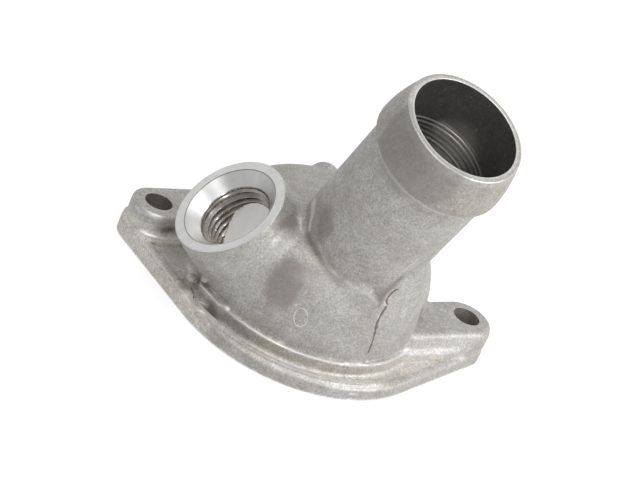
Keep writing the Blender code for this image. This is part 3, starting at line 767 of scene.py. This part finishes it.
def sleeve_field(x, y, z):
    """The neck's tube with its bead and its bore."""
    along, off = along_and_off(x, y, z, np.zeros(3), NECK_AXIS)
    tube = np.maximum(off - neck_radius(NECK_LENGTH - along), along - NECK_LENGTH)
    return np.maximum(tube, NECK_BORE_RADIUS - off)


def add_layer(piece, name, values):
    """Store a number from 0 to 1 at each point for the materials to read."""
    layer = piece.data.attributes.new(name, 'FLOAT', 'POINT')
    layer.data.foreach_set("value", np.clip(values, 0.0, 1.0).astype(np.float32))


def add_shade(piece, field, points, edge_share=1.0, pale=0.0, hollow=0.0):
    """Store how hollow and how edged the surface is at each point, for painted shade in the hollows
    and for paler edges, partly wear and partly painted highlight.

    A point lifted off a flat face by some reach is that far from the surface, and less in a
    hollow. A point sunk under an edge is nearer to the surface than it was sunk. The pale share
    adds painted highlight to the edge layer, and the hollow share adds painted shade to the near
    hollow layer.
    """
    normals = slope_at(field, points)
    near = 1.0 - field(*(points + NEAR_REACH * normals).T) / NEAR_REACH
    add_layer(piece, "near_hollow_shade", np.maximum(near, hollow))
    add_layer(piece, "wide_hollow_shade", 1.0 - field(*(points + WIDE_REACH * normals).T) / WIDE_REACH)
    edge = 1.0 + field(*(points - EDGE_REACH * normals).T) / EDGE_REACH
    add_layer(piece, "edge", np.maximum(edge * edge_share, pale))


def stroke_share(points, strokes):
    """Falls from a share on each stroke's line to nothing beside it, as a bell of its width."""
    total = np.zeros(len(points))
    for corners, width, share in strokes:
        for place in on_surface(smooth_path(np.array(corners) * MM)):
            away = np.sum((points - place) ** 2, axis=1) / width ** 2
            total = np.maximum(total, share * np.exp(-away))
    return total


def painted_light_share(x, y, z):
    """How much paler the skin is painted as painted light: the most of some products of smooth
    steps.
    """
    values = {"x": x, "z": z, "outline": outline_distance(x, y)}
    total = np.zeros(len(x))
    for share, steps in PAINTED_LIGHT_PATCHES:
        patch = share
        for name, start, end in steps:
            patch = patch * smooth_step(values[name], start * MM, end * MM)
        total = np.maximum(total, patch)
    return total


def step_highlight_share(x, y, z):
    """A share of painted highlight on the front edge of the step round the body, and nothing beside
    it.
    """
    step = STEP_HIGHLIGHT_SHARE * bell(np.hypot(x, y) - TIER_RADIUS, *STEP_HIGHLIGHT_LINE) * (y < 0.0)
    return step * smooth_step(z, *STEP_HIGHLIGHT_BOTTOM) * smooth_step(z, *STEP_HIGHLIGHT_TOP)


def casting_piece():
    low = np.array(cad_box[0]) - SEAT - GRID_MARGIN
    high = np.array(cad_box[1]) - SEAT + GRID_MARGIN
    lines = [grid_lines(low[k], high[k], GRID_STEP_ACROSS) for k in range(2)]
    lines.append(np.concatenate([grid_lines(low[2], FINE_BELOW, FINE_STEP)[:-1],
                                 grid_lines(FINE_BELOW, FINE_ABOVE, GRID_STEP)[:-1],
                                 grid_lines(FINE_ABOVE, high[2], FINE_STEP)]))
    vertices, quads = surface_of(casting_field, lines)
    piece = new_piece("casting", in_box(vertices + SEAT), quads)
    # The edge layer also takes the painted highlight strokes and the step's painted highlight
    add_shade(piece, casting_field, vertices,
              smooth_step(hole_distance(*vertices.T[:2]), *HOLE_RIM),
              np.maximum(stroke_share(vertices, PAINTED_HIGHLIGHT_STROKES), step_highlight_share(*vertices.T)))
    # Painted shade along the creases, the fold by the seam, and where the body meets the right lug
    add_layer(piece, "painted_shade_line", stroke_share(vertices, PAINTED_SHADE_STROKES))
    # Painted light on the rim, the left floor and the channel
    add_layer(piece, "painted_light", painted_light_share(*vertices.T))
    return piece


def thread_piece():
    reach = THREAD_SLEEVE + 2 * THREAD_STEP
    across = grid_lines(-reach, reach, THREAD_STEP)
    along = grid_lines(PORT_START, PORT_LENGTH - 1.0 * MM, THREAD_STEP * 0.8)
    local, quads = surface_of(thread_field, [across, across, along])
    vertices = PORT_ORIGIN + local @ PORT_FRAME
    return new_piece("port_thread", vertices + SEAT, quads)


def on_surface(points, steps=6):
    """Points moved along the field's slope until they lie on the casting's skin."""
    for _ in range(steps):
        points = points - casting_field(*points.T)[:, None] * slope_at(casting_field, points)
    return points


def smooth_path(corners):
    """Evenly spaced points on a smooth curve through a few corners, in metres."""
    corners = np.array(corners, dtype=float)
    steps = np.linalg.norm(np.diff(corners, axis=0), axis=1)
    along = np.concatenate([[0.0], np.cumsum(steps)])
    count = max(int(along[-1] / LINE_STEP), 4)
    place = np.linspace(0.0, along[-1], count + 1)
    path = np.stack([np.interp(place, along, corners[:, k]) for k in range(3)], axis=1)
    for _ in range(2):
        path[1:-1] = (path[:-2] + 2.0 * path[1:-1] + path[2:]) / 4.0
    return path


def bead_line(corners, width, height):
    """Thin raised line on the skin: a flat lens carried along a path, thin at both ends.

    The section is a ring of four points: a foot on each side and one under the skin, and the
    crest above it. The width swells and shrinks a little along the path.
    """
    path = on_surface(smooth_path(corners))
    ahead = np.gradient(path, axis=0)
    ahead /= np.linalg.norm(ahead, axis=1)[:, None]
    up = slope_at(casting_field, path)
    side = np.cross(up, ahead)
    side /= np.linalg.norm(side, axis=1)[:, None]
    along = np.concatenate([[0.0], np.cumsum(np.linalg.norm(np.diff(path, axis=0), axis=1))])
    ends = np.minimum(along, along[-1] - along) / LINE_TAPER
    swell = 1.0 + LINE_SWELL * np.sin(along / LINE_WAVE) * np.sin(along / (2.0 * LINE_WAVE) + 1.0)
    half = width / 2 * swell * np.sqrt(np.clip(ends, 0.02, 1.0))
    crest = height * np.clip(ends * 2.0, 0.0, 1.0)
    ring = [path + half[:, None] * side - LINE_SUNK * up, path + crest[:, None] * up,
            path - half[:, None] * side - LINE_SUNK * up, path - 2.0 * LINE_SUNK * up]
    points = np.stack(ring, axis=1)
    count, width_count = points.shape[:2]
    i, j = np.meshgrid(np.arange(count - 1), np.arange(width_count), indexing="ij")
    k = (j + 1) % width_count
    quads = np.stack([i * width_count + j, (i + 1) * width_count + j,
                      (i + 1) * width_count + k, i * width_count + k], axis=-1).reshape(-1, 4)
    last = (count - 1) * width_count
    caps = np.array([[0, 1, 2, 3], [last + 3, last + 2, last + 1, last]])
    return points.reshape(-1, 3), np.vstack([quads, caps])


def line_piece(name, lines):
    """One mesh of several raised lines, given in mm."""
    all_points = []
    all_quads = []
    start = 0
    for corners, width, height in lines:
        points, quads = bead_line(np.array(corners) * MM, width * MM, height * MM)
        all_points.append(points)
        all_quads.append(quads + start)
        start += len(points)
    return new_piece(name, in_box(np.concatenate(all_points) + SEAT), np.concatenate(all_quads))


def oval_corners():
    """The small oval cast on the body's front, from its two half axes and an angle, in mm."""
    turn = np.linspace(0.0, 2.0 * math.pi, 33)
    return (np.array(OVAL_CENTRE) + np.cos(turn)[:, None] * np.array(OVAL_ACROSS)
            + np.sin(turn)[:, None] * np.array(OVAL_UP))


def turned_piece(name, profile, origin, axis):
    """Closed ring of a profile of (radius, distance along the axis), carried round the axis."""
    turn = frame_of(axis)
    angle = np.linspace(0.0, 2.0 * math.pi, AROUND, endpoint=False)
    spokes = np.cos(angle)[:, None] * turn[0] + np.sin(angle)[:, None] * turn[1]
    radius, along = profile[:, 0], profile[:, 1]
    points = origin + along[None, :, None] * axis + radius[None, :, None] * spokes[:, None]
    rows, columns = points.shape[:2]
    i, j = np.meshgrid(np.arange(rows), np.arange(columns), indexing="ij")
    k, m = (i + 1) % rows, (j + 1) % columns
    quads = np.stack([i * columns + j, i * columns + m, k * columns + m, k * columns + j], axis=-1)
    vertices = points.reshape(-1, 3)
    return new_piece(name, in_box(vertices + SEAT), quads.reshape(-1, 4)), vertices


def rounded(corner, before, after, radius, count=6):
    """Points of a rounded right corner, between the directions to the points before and after."""
    corner, before, after = (np.array(v, dtype=float) for v in (corner, before, after))
    first = (before - corner) / np.linalg.norm(before - corner)
    second = (after - corner) / np.linalg.norm(after - corner)
    angle = np.linspace(0.0, math.pi / 2, count)[:, None]
    return corner + radius * ((1.0 - np.sin(angle)) * first + (1.0 - np.cos(angle)) * second)


def neck_sleeve():
    """The neck's own smooth skin: up the outside over the bead, round the mouth and down the bore.

    Inside, raised sines stand in the bore as turned ridges between two depths.
    """
    outer = np.concatenate([np.linspace(SLEEVE_END, BEAD_LENGTH + 1.0 * MM, 90),
                            np.linspace(BEAD_LENGTH + 0.9 * MM, BEAD_LENGTH - 1.0 * MM, 20),
                            np.linspace(BEAD_LENGTH - 1.3 * MM, 0.6 * MM, 30)])
    inner = np.linspace(0.4 * MM, SLEEVE_BORE_END, 260)
    wave = np.maximum(np.sin(2.0 * math.pi * (inner - RIDGE_START) / RIDGE_PITCH), 0.0)
    fade = smooth_step(inner, RIDGE_START, RIDGE_START + RIDGE_PITCH)
    fade = fade * smooth_step(inner, RIDGE_END, RIDGE_END - 2.0 * RIDGE_PITCH)
    outside = np.stack([neck_radius(outer), NECK_LENGTH - outer], axis=1)
    inside = np.stack([NECK_BORE_RADIUS - RIDGE_HEIGHT * wave * fade, NECK_LENGTH - inner], axis=1)
    top_out = (MOUTH_RADIUS, NECK_LENGTH)
    top_in = (NECK_BORE_RADIUS, NECK_LENGTH)
    lip_out = rounded(top_out, outside[-1], top_in, MOUTH_EDGE)
    lip_in = rounded(top_in, top_out, inside[0], MOUTH_INNER_EDGE)
    buried = np.array([[NECK_BORE_RADIUS + SLEEVE_THICKNESS, NECK_LENGTH - SLEEVE_BORE_END],
                       [NECK_BORE_RADIUS + SLEEVE_THICKNESS + 0.1 * MM, NECK_LENGTH - SLEEVE_END]])
    profile = np.vstack([outside, lip_out, lip_in, inside, buried])
    piece, vertices = turned_piece("neck_sleeve", profile, np.zeros(3), NECK_AXIS)
    depth = NECK_LENGTH - vertices @ NECK_AXIS
    behind = depth - BEAD_LENGTH - BEAD_STEP
    # A painted highlight band and a painted shadow line behind the bead
    add_shade(piece, sleeve_field, vertices, MOUTH_EDGE_SHARE,
              BEHIND_BEAD_HIGHLIGHT_SHARE * bell(behind, *BEHIND_BEAD_HIGHLIGHT_BAND),
              BEHIND_BEAD_SHADOW_SHARE * bell(behind, *BEHIND_BEAD_SHADOW_LINE))
    # The ridge crests get a painted highlight in the bore's skin
    crest = np.zeros(profile.shape[0])
    start = len(outside) + len(lip_out) + len(lip_in)
    crest[start:start + len(inside)] = wave * fade
    seen = smooth_step(vertices[:, 0], RIDGE_FADE_END, RIDGE_FADE_START)
    add_layer(piece, "ridge_highlight", np.tile(crest, AROUND) * seen)
    # Painted shade on the bead
    add_layer(piece, "bead", smooth_step(depth, *BEAD_SHADE_START)
              * smooth_step(depth, BEAD_LENGTH + BEAD_STEP, BEAD_LENGTH))
    return piece


def port_face():
    """Machined end of the port: a flat ring with a small outer edge, and the lead-in cone."""
    face = PORT_LENGTH
    cone_end = THREAD_ROOT + CONE_CLEARANCE
    depth = CHAMFER_SLOPE * (CHAMFER_RADIUS - cone_end)
    down = np.linspace(FACE_SIDE, 0.4 * MM, 8)
    side = np.stack([PORT_RADIUS + PORT_DRAFT * down, face - down], axis=1)
    radius = np.linspace(PORT_RADIUS - 0.4 * MM, CHAMFER_RADIUS, 10)
    flat = np.stack([radius, np.full(10, face)], axis=1)
    edge = rounded((PORT_RADIUS, face), side[-1], flat[0], PORT_EDGE)
    along = np.linspace(0.06 * MM, depth, 14)
    cone = np.stack([CHAMFER_RADIUS - along / CHAMFER_SLOPE, face - along], axis=1)
    buried = np.array([[cone_end + 0.9 * MM, face - depth],
                       [PORT_RADIUS - 1.0 * MM, face - FACE_SIDE - 0.2 * MM]])
    profile = np.vstack([side, edge, flat, cone, buried])
    piece = turned_piece("port_face", profile, PORT_ORIGIN, PORT_AXIS)[0]
    for name in ("machined_skin", "cast_skin"):
        piece.data.materials.append(bpy.data.materials[name])
    _, off = port_coordinates(face_table(piece.data)[0])
    wall = (off > PORT_RADIUS - 0.1 * MM).astype(np.int32)
    piece.data.polygons.foreach_set("material_index", wall)
    return piece


# Vector sums that give a number
NUMBERS = ("LENGTH", "DOT_PRODUCT")


class Nodes:
    """Short way to add nodes to a material or a world and to feed them."""

    def __init__(self, owner):
        owner.use_nodes = True
        self.owner = owner
        self.tree = owner.node_tree

    def add(self, kind, **settings):
        node = self.tree.nodes.new("ShaderNode" + kind)
        for key, value in settings.items():
            setattr(node, key, value)
        return node

    def feed(self, target, value):
        """Join a socket, or set a plain value."""
        if isinstance(value, bpy.types.NodeSocket):
            self.tree.links.new(value, target)
        else:
            target.default_value = value

    def work(self, kind, operation, *values):
        """Result of a Math or VectorMath node."""
        node = self.add(kind, operation=operation)
        for target, value in zip(node.inputs, values):
            self.feed(target, value)
        return node.outputs["Value" if kind == "Math" or operation in NUMBERS else "Vector"]

    def place(self):
        return self.add("TexCoord").outputs["Object"]

    def noise(self, scale, detail, roughness):
        node = self.add("TexNoise")
        for name, value in (("Scale", scale), ("Detail", detail), ("Roughness", roughness)):
            self.feed(node.inputs[name], value)
        self.feed(node.inputs["Vector"], self.place())
        return node.outputs["Fac"]

    def ramp(self, source, start, low, end, high):
        """Number or colour that runs from low at the start value to high at the end value."""
        node = self.add("ValToRGB")
        for element, place, value in zip(node.color_ramp.elements, (start, end), (low, high)):
            element.position = place
            element.color = (*(value if isinstance(value, tuple) else (value,) * 3), 1.0)
        self.feed(node.inputs["Fac"], source)
        return node.outputs["Color"]

    def mix(self, factor, a, b, blend="MIX"):
        node = self.add("Mix", data_type="RGBA", blend_type=blend)
        for key, value in ((0, factor), (6, a), (7, b)):
            self.feed(node.inputs[key], (*value, 1.0) if isinstance(value, tuple) else value)
        return node.outputs[2]

    def attribute(self, name, start, end, share):
        """Nothing up to a start value of a stored number, and a share from its end value on."""
        stored = self.add("Attribute", attribute_name=name).outputs["Fac"]
        return self.ramp(stored, start, 0.0, end, share)

    def away(self, place, stretch=(1.0, 1.0, 1.0)):
        """Distance from a place in mm, with each direction counted by a factor."""
        centre = tuple(np.array(place) * MM + SEAT)
        offset = self.work("VectorMath", 'SUBTRACT', self.place(), centre)
        scaled = self.work("VectorMath", 'MULTIPLY', offset, stretch)
        return self.work("VectorMath", 'LENGTH', scaled)

    def span(self, source, start, end, low, high, kind='LINEAR'):
        """Number that runs from low to high between two values of its source."""
        node = self.add("MapRange", interpolation_type=kind)
        for name, value in (("Value", source), ("From Min", start), ("From Max", end),
                            ("To Min", low), ("To Max", high)):
            self.feed(node.inputs[name], value)
        return node.outputs["Result"]

    def fade(self, source, start, end, share):
        """A share up to the start value, which falls smoothly to nothing at the end value."""
        return self.span(source, start, end, share, 0.0, 'SMOOTHSTEP')

    def bump(self, height, strength, distance, normal=None):
        node = self.add("Bump")
        for name, value in (("Strength", strength), ("Distance", distance), ("Height", height)):
            self.feed(node.inputs[name], value)
        if normal is not None:
            self.feed(node.inputs["Normal"], normal)
        return node.outputs["Normal"]

    def finish(self, colour, metallic, roughness, normal=None):
        """Feed the shader and hand back the material."""
        shader = self.tree.nodes["Principled BSDF"]
        colour = (*colour, 1.0) if isinstance(colour, tuple) else colour
        for name, value in (("Base Color", colour), ("Metallic", metallic),
                            ("Roughness", roughness)):
            self.feed(shader.inputs[name], value)
        if normal is not None:
            self.feed(shader.inputs["Normal"], normal)
        return self.owner


def skin_nodes(name):
    return Nodes(bpy.data.materials.new(name))


def cast_colour(m, low, high):
    """Mottled, speckled metal colour between two tints."""
    tint = m.ramp(m.noise(90.0, 3.0, 0.5), 0.35, low, 0.65, high)
    tint = m.mix(1.0, tint, m.ramp(m.noise(420.0, 4.0, 0.65), 0.3, 0.84, 0.7, 1.10), "MULTIPLY")
    tint = m.mix(1.0, tint, m.ramp(m.noise(2300.0, 3.0, 0.7), 0.3, 0.66, 0.7, 1.23), "MULTIPLY")
    flecks = m.ramp(m.noise(900.0, 2.0, 0.6), 0.70, 0.0, 0.76, 0.6)
    return m.mix(flecks, tint, (0.85, 0.84, 0.81))


def cast_relief(m):
    """Normal of the cast skin: fine grain on a softer unevenness."""
    normal = m.bump(m.noise(300.0, 3.0, 0.55), 0.30, 0.25 * MM)
    return m.bump(m.noise(1500.0, 3.0, 0.7), 0.45, 0.07 * MM, normal)


def cast_skin():
    """Raw die-cast skin: light warm grey, speckled, with browner painted shade in hollows, along
    creases and on the bead, paler painted light in places, and edges made brighter, partly as wear
    and partly as painted highlight.

    Stains, and some patches of painted shade, are soft balls around places on the skin, with edges
    that noise makes uneven.
    """
    m = skin_nodes("cast_skin")
    tint = cast_colour(m, CAST_DARK, CAST_LIGHT)
    wobble = m.noise(260.0, 3.0, 0.6)
    # Stains, and patches of painted shade on the bead's front, the channel's end and the left lug's
    # wall
    for place, stretch, radius, colour, share in STAINS_AND_PAINTED_SHADE:
        uneven = m.work("Math", 'MULTIPLY_ADD', wobble, STAIN_AND_SHADE_WOBBLE, m.away(place, stretch))
        start = radius * MM + STAIN_AND_SHADE_WOBBLE * STAIN_AND_SHADE_CORE
        tint = m.mix(m.fade(uneven, start, radius * MM + STAIN_AND_SHADE_WOBBLE, share), tint, colour)
    # Painted shade on the bead
    tint = m.mix(m.attribute("bead", 0.0, 1.0, 1.0), tint, BEAD_SHADE_TINT, "MULTIPLY")
    # Painted light
    tint = m.mix(m.attribute("painted_light", 0.0, 1.0, 1.0), tint, PAINTED_LIGHT_TINT, "MULTIPLY")
    # Painted shade along creases
    tint = m.mix(m.attribute("painted_shade_line", 0.0, 1.0, 0.9), tint, PAINTED_SHADE_LINE_TINT)
    # Painted shade in hollows, near and wide
    tint = m.mix(m.attribute("near_hollow_shade", 0.15, 0.80, 0.62), tint, HOLLOW_SHADE_TINT, "MULTIPLY")
    tint = m.mix(m.attribute("wide_hollow_shade", 0.40, 1.0, 0.2), tint, WIDE_HOLLOW_SHADE_TINT, "MULTIPLY")
    # Edges paler, partly as wear and partly as painted highlight, with the painted highlight
    # strokes
    edge = m.attribute("edge", 0.08, 0.40, 0.85)
    tint = m.mix(edge, tint, EDGE_WEAR_AND_HIGHLIGHT_TINT)
    return m.finish(tint, 0.6, m.ramp(edge, 0.0, 0.50, 0.75, 0.34), cast_relief(m))


def chamber_skin():
    """Paler cast skin inside the chamber, as painted light."""
    m = skin_nodes("chamber_skin")
    # Pale tints as painted light inside the chamber
    tint = m.ramp(m.noise(420.0, 4.0, 0.65), 0.3, (0.90, 0.89, 0.87), 0.7, (0.96, 0.955, 0.94))
    return m.finish(tint, 0.65, 0.42)


def bore_skin():
    """Skin inside the hose neck, darkened as painted shade, with faint painted patches of light and
    painted highlights on the ridges.
    """
    m = skin_nodes("bore_skin")
    # Dark tints as painted shade inside the bore
    tint = cast_colour(m, (0.20, 0.195, 0.18), (0.28, 0.275, 0.26))
    # Painted patches of light
    for place, radius, colour, share in BORE_PATCHES:
        amount = m.fade(m.away(place), radius * PATCH_CORE * MM, radius * MM, share)
        tint = m.mix(amount, tint, colour)
    # Painted highlight on the ridge crests
    tint = m.mix(m.attribute("ridge_highlight", 0.2, 0.9, 0.8), tint, (0.60, 0.58, 0.54))
    return m.finish(tint, 0.75, 0.36, cast_relief(m))


def hole_skin():
    """Dark brown-grey wall of a drilled bolt hole."""
    m = skin_nodes("hole_skin")
    return m.finish(cast_colour(m, (0.22, 0.205, 0.18), (0.36, 0.34, 0.31)), 0.4, 0.5)


def machined_skin():
    """Turned aluminium: bright, with fine rings about the port's axis and a thin ring of painted
    shade at the cone's outer edge.

    The distance off the axis is the length of the place's cross product with the axis.
    """
    m = skin_nodes("machined_skin")
    offset = m.work("VectorMath", 'SUBTRACT', m.place(), tuple(PORT_ORIGIN + SEAT))
    across = m.work("VectorMath", 'CROSS_PRODUCT', offset, tuple(PORT_AXIS))
    off = m.work("VectorMath", 'LENGTH', across)
    rings = m.add("TexNoise", noise_dimensions='1D')
    for name, value in (("Scale", 9000.0), ("Detail", 3.0), ("W", off)):
        m.feed(rings.inputs[name], value)
    clean = m.ramp(m.noise(350.0, 3.0, 0.6), 0.3, (0.76, 0.76, 0.75), 0.7, (0.86, 0.86, 0.85))
    # Painted shade in a thin ring at the cone's outer edge
    apart = m.work("Math", 'ABSOLUTE', m.work("Math", 'SUBTRACT', off, CHAMFER_RADIUS))
    ring = m.fade(apart, 0.05 * MM, 0.16 * MM, 0.8)
    relief = m.bump(rings.outputs["Fac"], 0.25, 0.03 * MM)
    return m.finish(m.mix(ring, clean, (0.22, 0.21, 0.20)), 0.85, 0.40, relief)


def thread_skin():
    """Cut thread: shiny, in mottled brown-grey."""
    m = skin_nodes("thread_skin")
    tint = m.ramp(m.noise(500.0, 3.0, 0.6), 0.3, (0.42, 0.395, 0.36), 0.7, (0.60, 0.575, 0.53))
    return m.finish(tint, 1.0, 0.25)


def port_coordinates(points):
    """Distance along the port's axis and off it, of points in the seat's frame."""
    local = points - PORT_ORIGIN
    along = local @ PORT_AXIS
    return along, np.linalg.norm(local - along[:, None] * PORT_AXIS, axis=1)


def face_table(mesh):
    """Middles, in the seat's frame, and normals of a mesh's faces."""
    centres = np.empty(len(mesh.polygons) * 3)
    mesh.polygons.foreach_get("center", centres)
    normals = np.empty(len(mesh.polygons) * 3)
    mesh.polygons.foreach_get("normal", normals)
    return centres.reshape(-1, 3) - SEAT, normals.reshape(-1, 3)


def finish_casting(piece):
    """Machined skin for the port and the mounting face, and skins for bore, chamber and holes."""
    mesh = piece.data
    for skin in (cast_skin(), machined_skin(), bore_skin(), chamber_skin(), hole_skin()):
        mesh.materials.append(skin)
    centres, normals = face_table(mesh)
    along, off = port_coordinates(centres)
    index = np.zeros(len(centres), dtype=np.int32)
    index[np.abs(chamber_field(*centres.T)) < 0.15 * MM] = 3
    neck_along, neck_off = along_and_off(*centres.T, np.zeros(3), NECK_AXIS)
    index[(neck_off < NECK_BORE_RADIUS + 0.1 * MM) & (neck_along > BORE_SKIN_START)
          & (neck_along < NECK_LENGTH - 0.2 * MM)] = 2
    face = (along > PORT_LENGTH - FACE_SKIN_DEPTH) & (off < PORT_RADIUS - 0.3 * MM)
    face = face & (normals @ PORT_AXIS > 0.2)
    under = (centres[:, 2] < 0.05 * MM) & (normals[:, 2] < -0.9)
    index[face | under] = 1
    index[(hole_distance(*centres.T[:2]) < 0.1 * MM) & (np.abs(normals[:, 2]) < 0.5)] = 4
    mesh.polygons.foreach_set("material_index", index)


def finish_sleeve(piece):
    """Cast skin outside, and the bore's skin, darkened as painted shade, from just inside the
    mouth.
    """
    for name in ("cast_skin", "bore_skin"):
        piece.data.materials.append(bpy.data.materials[name])
    centres, _ = face_table(piece.data)
    along, off = along_and_off(*centres.T, np.zeros(3), NECK_AXIS)
    inside = (off < NECK_BORE_RADIUS + 0.02 * MM) & (along < NECK_LENGTH - MOUTH_INNER_EDGE)
    piece.data.polygons.foreach_set("material_index", inside.astype(np.int32))


def show_white(m):
    """Nearly white to the camera, with a soft shadow, and a glow to glossy rays."""
    side = m.work("VectorMath", 'DOT_PRODUCT', m.place(), tuple(unit((*BRIGHT_SIDE[:2], 0.0))))
    glossy = m.span(side, -FLOOR_GLOW_SPREAD, FLOOR_GLOW_SPREAD, FLOOR_GLOW_DARK, FLOOR_GLOW_BRIGHT)
    path = m.add("LightPath")
    surface = m.tree.nodes["Principled BSDF"].outputs[0]
    for ray, strength, share in (("Is Camera Ray", FLOOR_WHITE, FLOOR_SHARE),
                                 ("Is Glossy Ray", glossy, 1.0),
                                 ("Is Transmission Ray", 1.0, 1.0)):
        glow = m.add("Emission")
        m.feed(glow.inputs["Strength"], strength)
        mix = m.add("MixShader")
        amount = m.work("Math", 'MULTIPLY', path.outputs[ray], share)
        for target, value in zip(mix.inputs, (amount, surface, glow.outputs[0])):
            m.feed(target, value)
        surface = mix.outputs[0]
    m.feed(m.tree.nodes["Material Output"].inputs["Surface"], surface)


def floor_piece():
    """Plain pale floor under the part."""
    mesh = bpy.data.meshes.new("floor")
    signs = ((-1, -1), (1, -1), (1, 1), (-1, 1))
    corners = [(x * FLOOR_REACH, y * FLOOR_REACH, 0.0) for x, y in signs]
    mesh.from_pydata(corners, [], [(0, 1, 2, 3)])
    floor = bpy.data.objects.new("floor", mesh)
    floor.location.z = -FLOOR_GAP
    bpy.context.scene.collection.objects.link(floor)
    m = skin_nodes("floor_white")
    mesh.materials.append(m.finish((0.93, 0.93, 0.93), 0.0, 0.9))
    show_white(m)


def world_light():
    """White surroundings for the camera; for the part, brighter towards the right."""
    m = Nodes(bpy.data.worlds.new("studio"))
    background = m.tree.nodes["Background"]
    background.inputs["Color"].default_value = (1.0, 1.0, 1.0, 1.0)
    direction = m.add("TexCoord").outputs["Generated"]
    side = m.work("VectorMath", 'DOT_PRODUCT', direction, tuple(unit(BRIGHT_SIDE)))
    light = m.span(side, -1.0, 1.0, DARK_SIDE_STRENGTH, BRIGHT_SIDE_STRENGTH)
    path = m.add("LightPath").outputs
    seen = m.work("Math", 'MAXIMUM', path["Is Camera Ray"], path["Is Transmission Ray"])
    strength = m.add("Mix")
    for key, value in ((0, seen), (2, light), (3, 1.0)):
        m.feed(strength.inputs[key], value)
    m.feed(background.inputs["Strength"], strength.outputs[0])
    bpy.context.scene.world = m.owner


def lamp(name, place, power, size, target=(0.0, 0.0, 0.03)):
    """Square soft box that faces the part."""
    light = bpy.data.lights.new(name, 'AREA')
    light.energy = power
    light.size = size
    obj = bpy.data.objects.new(name, light)
    obj.location = place
    direction = Vector(target) - Vector(place)
    obj.rotation_mode = 'QUATERNION'
    obj.rotation_quaternion = direction.to_track_quat('-Z', 'Y')
    bpy.context.scene.collection.objects.link(obj)


def camera():
    """The photograph's camera, from its place and the directions of its axes."""
    forward = unit(CAMERA_FORWARD)
    right = unit(np.array(CAMERA_RIGHT) - forward * np.dot(CAMERA_RIGHT, forward))
    up = np.cross(right, forward)
    data = bpy.data.cameras.new("camera")
    data.sensor_width = SENSOR_WIDTH
    data.lens = FOCAL_PIXELS * SENSOR_WIDTH / PHOTO_WIDTH
    data.clip_start = 0.01
    obj = bpy.data.objects.new("camera", data)
    turn = Matrix(np.array([right, up, -forward]).T.tolist()).to_4x4()
    turn.translation = Vector(np.array(CAMERA_PLACE) + SEAT)
    obj.matrix_world = turn
    bpy.context.scene.collection.objects.link(obj)
    bpy.context.scene.camera = obj


camera()
world_light()
lamp("right", (0.6, -0.3, 0.35), 2.2, 0.4)
lamp("back_left", (-0.62, 0.38, 0.42), 0.55, 0.6)
lamp("overhead", (0.05, -0.2, 0.9), 2.6, 0.5)
lamp("front", (-0.08, -0.45, 0.27), 0.25, 0.1)
floor_piece()

casting = casting_piece()
finish_casting(casting)
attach(casting, "root")
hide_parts("coolant_outlet")

thread = thread_piece()
thread.data.materials.append(thread_skin())
face = port_face()
sleeve = neck_sleeve()
finish_sleeve(sleeve)
seams = line_piece("seam_lines", SEAM_LINES)
seams.data.materials.append(skin_nodes("seam_skin").finish(SEAM_COLOUR, 0.0, 0.7))
marks = line_piece("raised_marks", ((oval_corners(), *OVAL_LINE_SIZE),
                                    (NECK_LINE, *NECK_LINE_SIZE)))
marks.data.materials.append(skin_nodes("raised_skin").finish(MARK_COLOUR, 0.5, 0.45))
for piece in (thread, face, sleeve, seams, marks):
    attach(piece, "root")

scene = bpy.context.scene
scene.view_settings.view_transform = 'Standard'
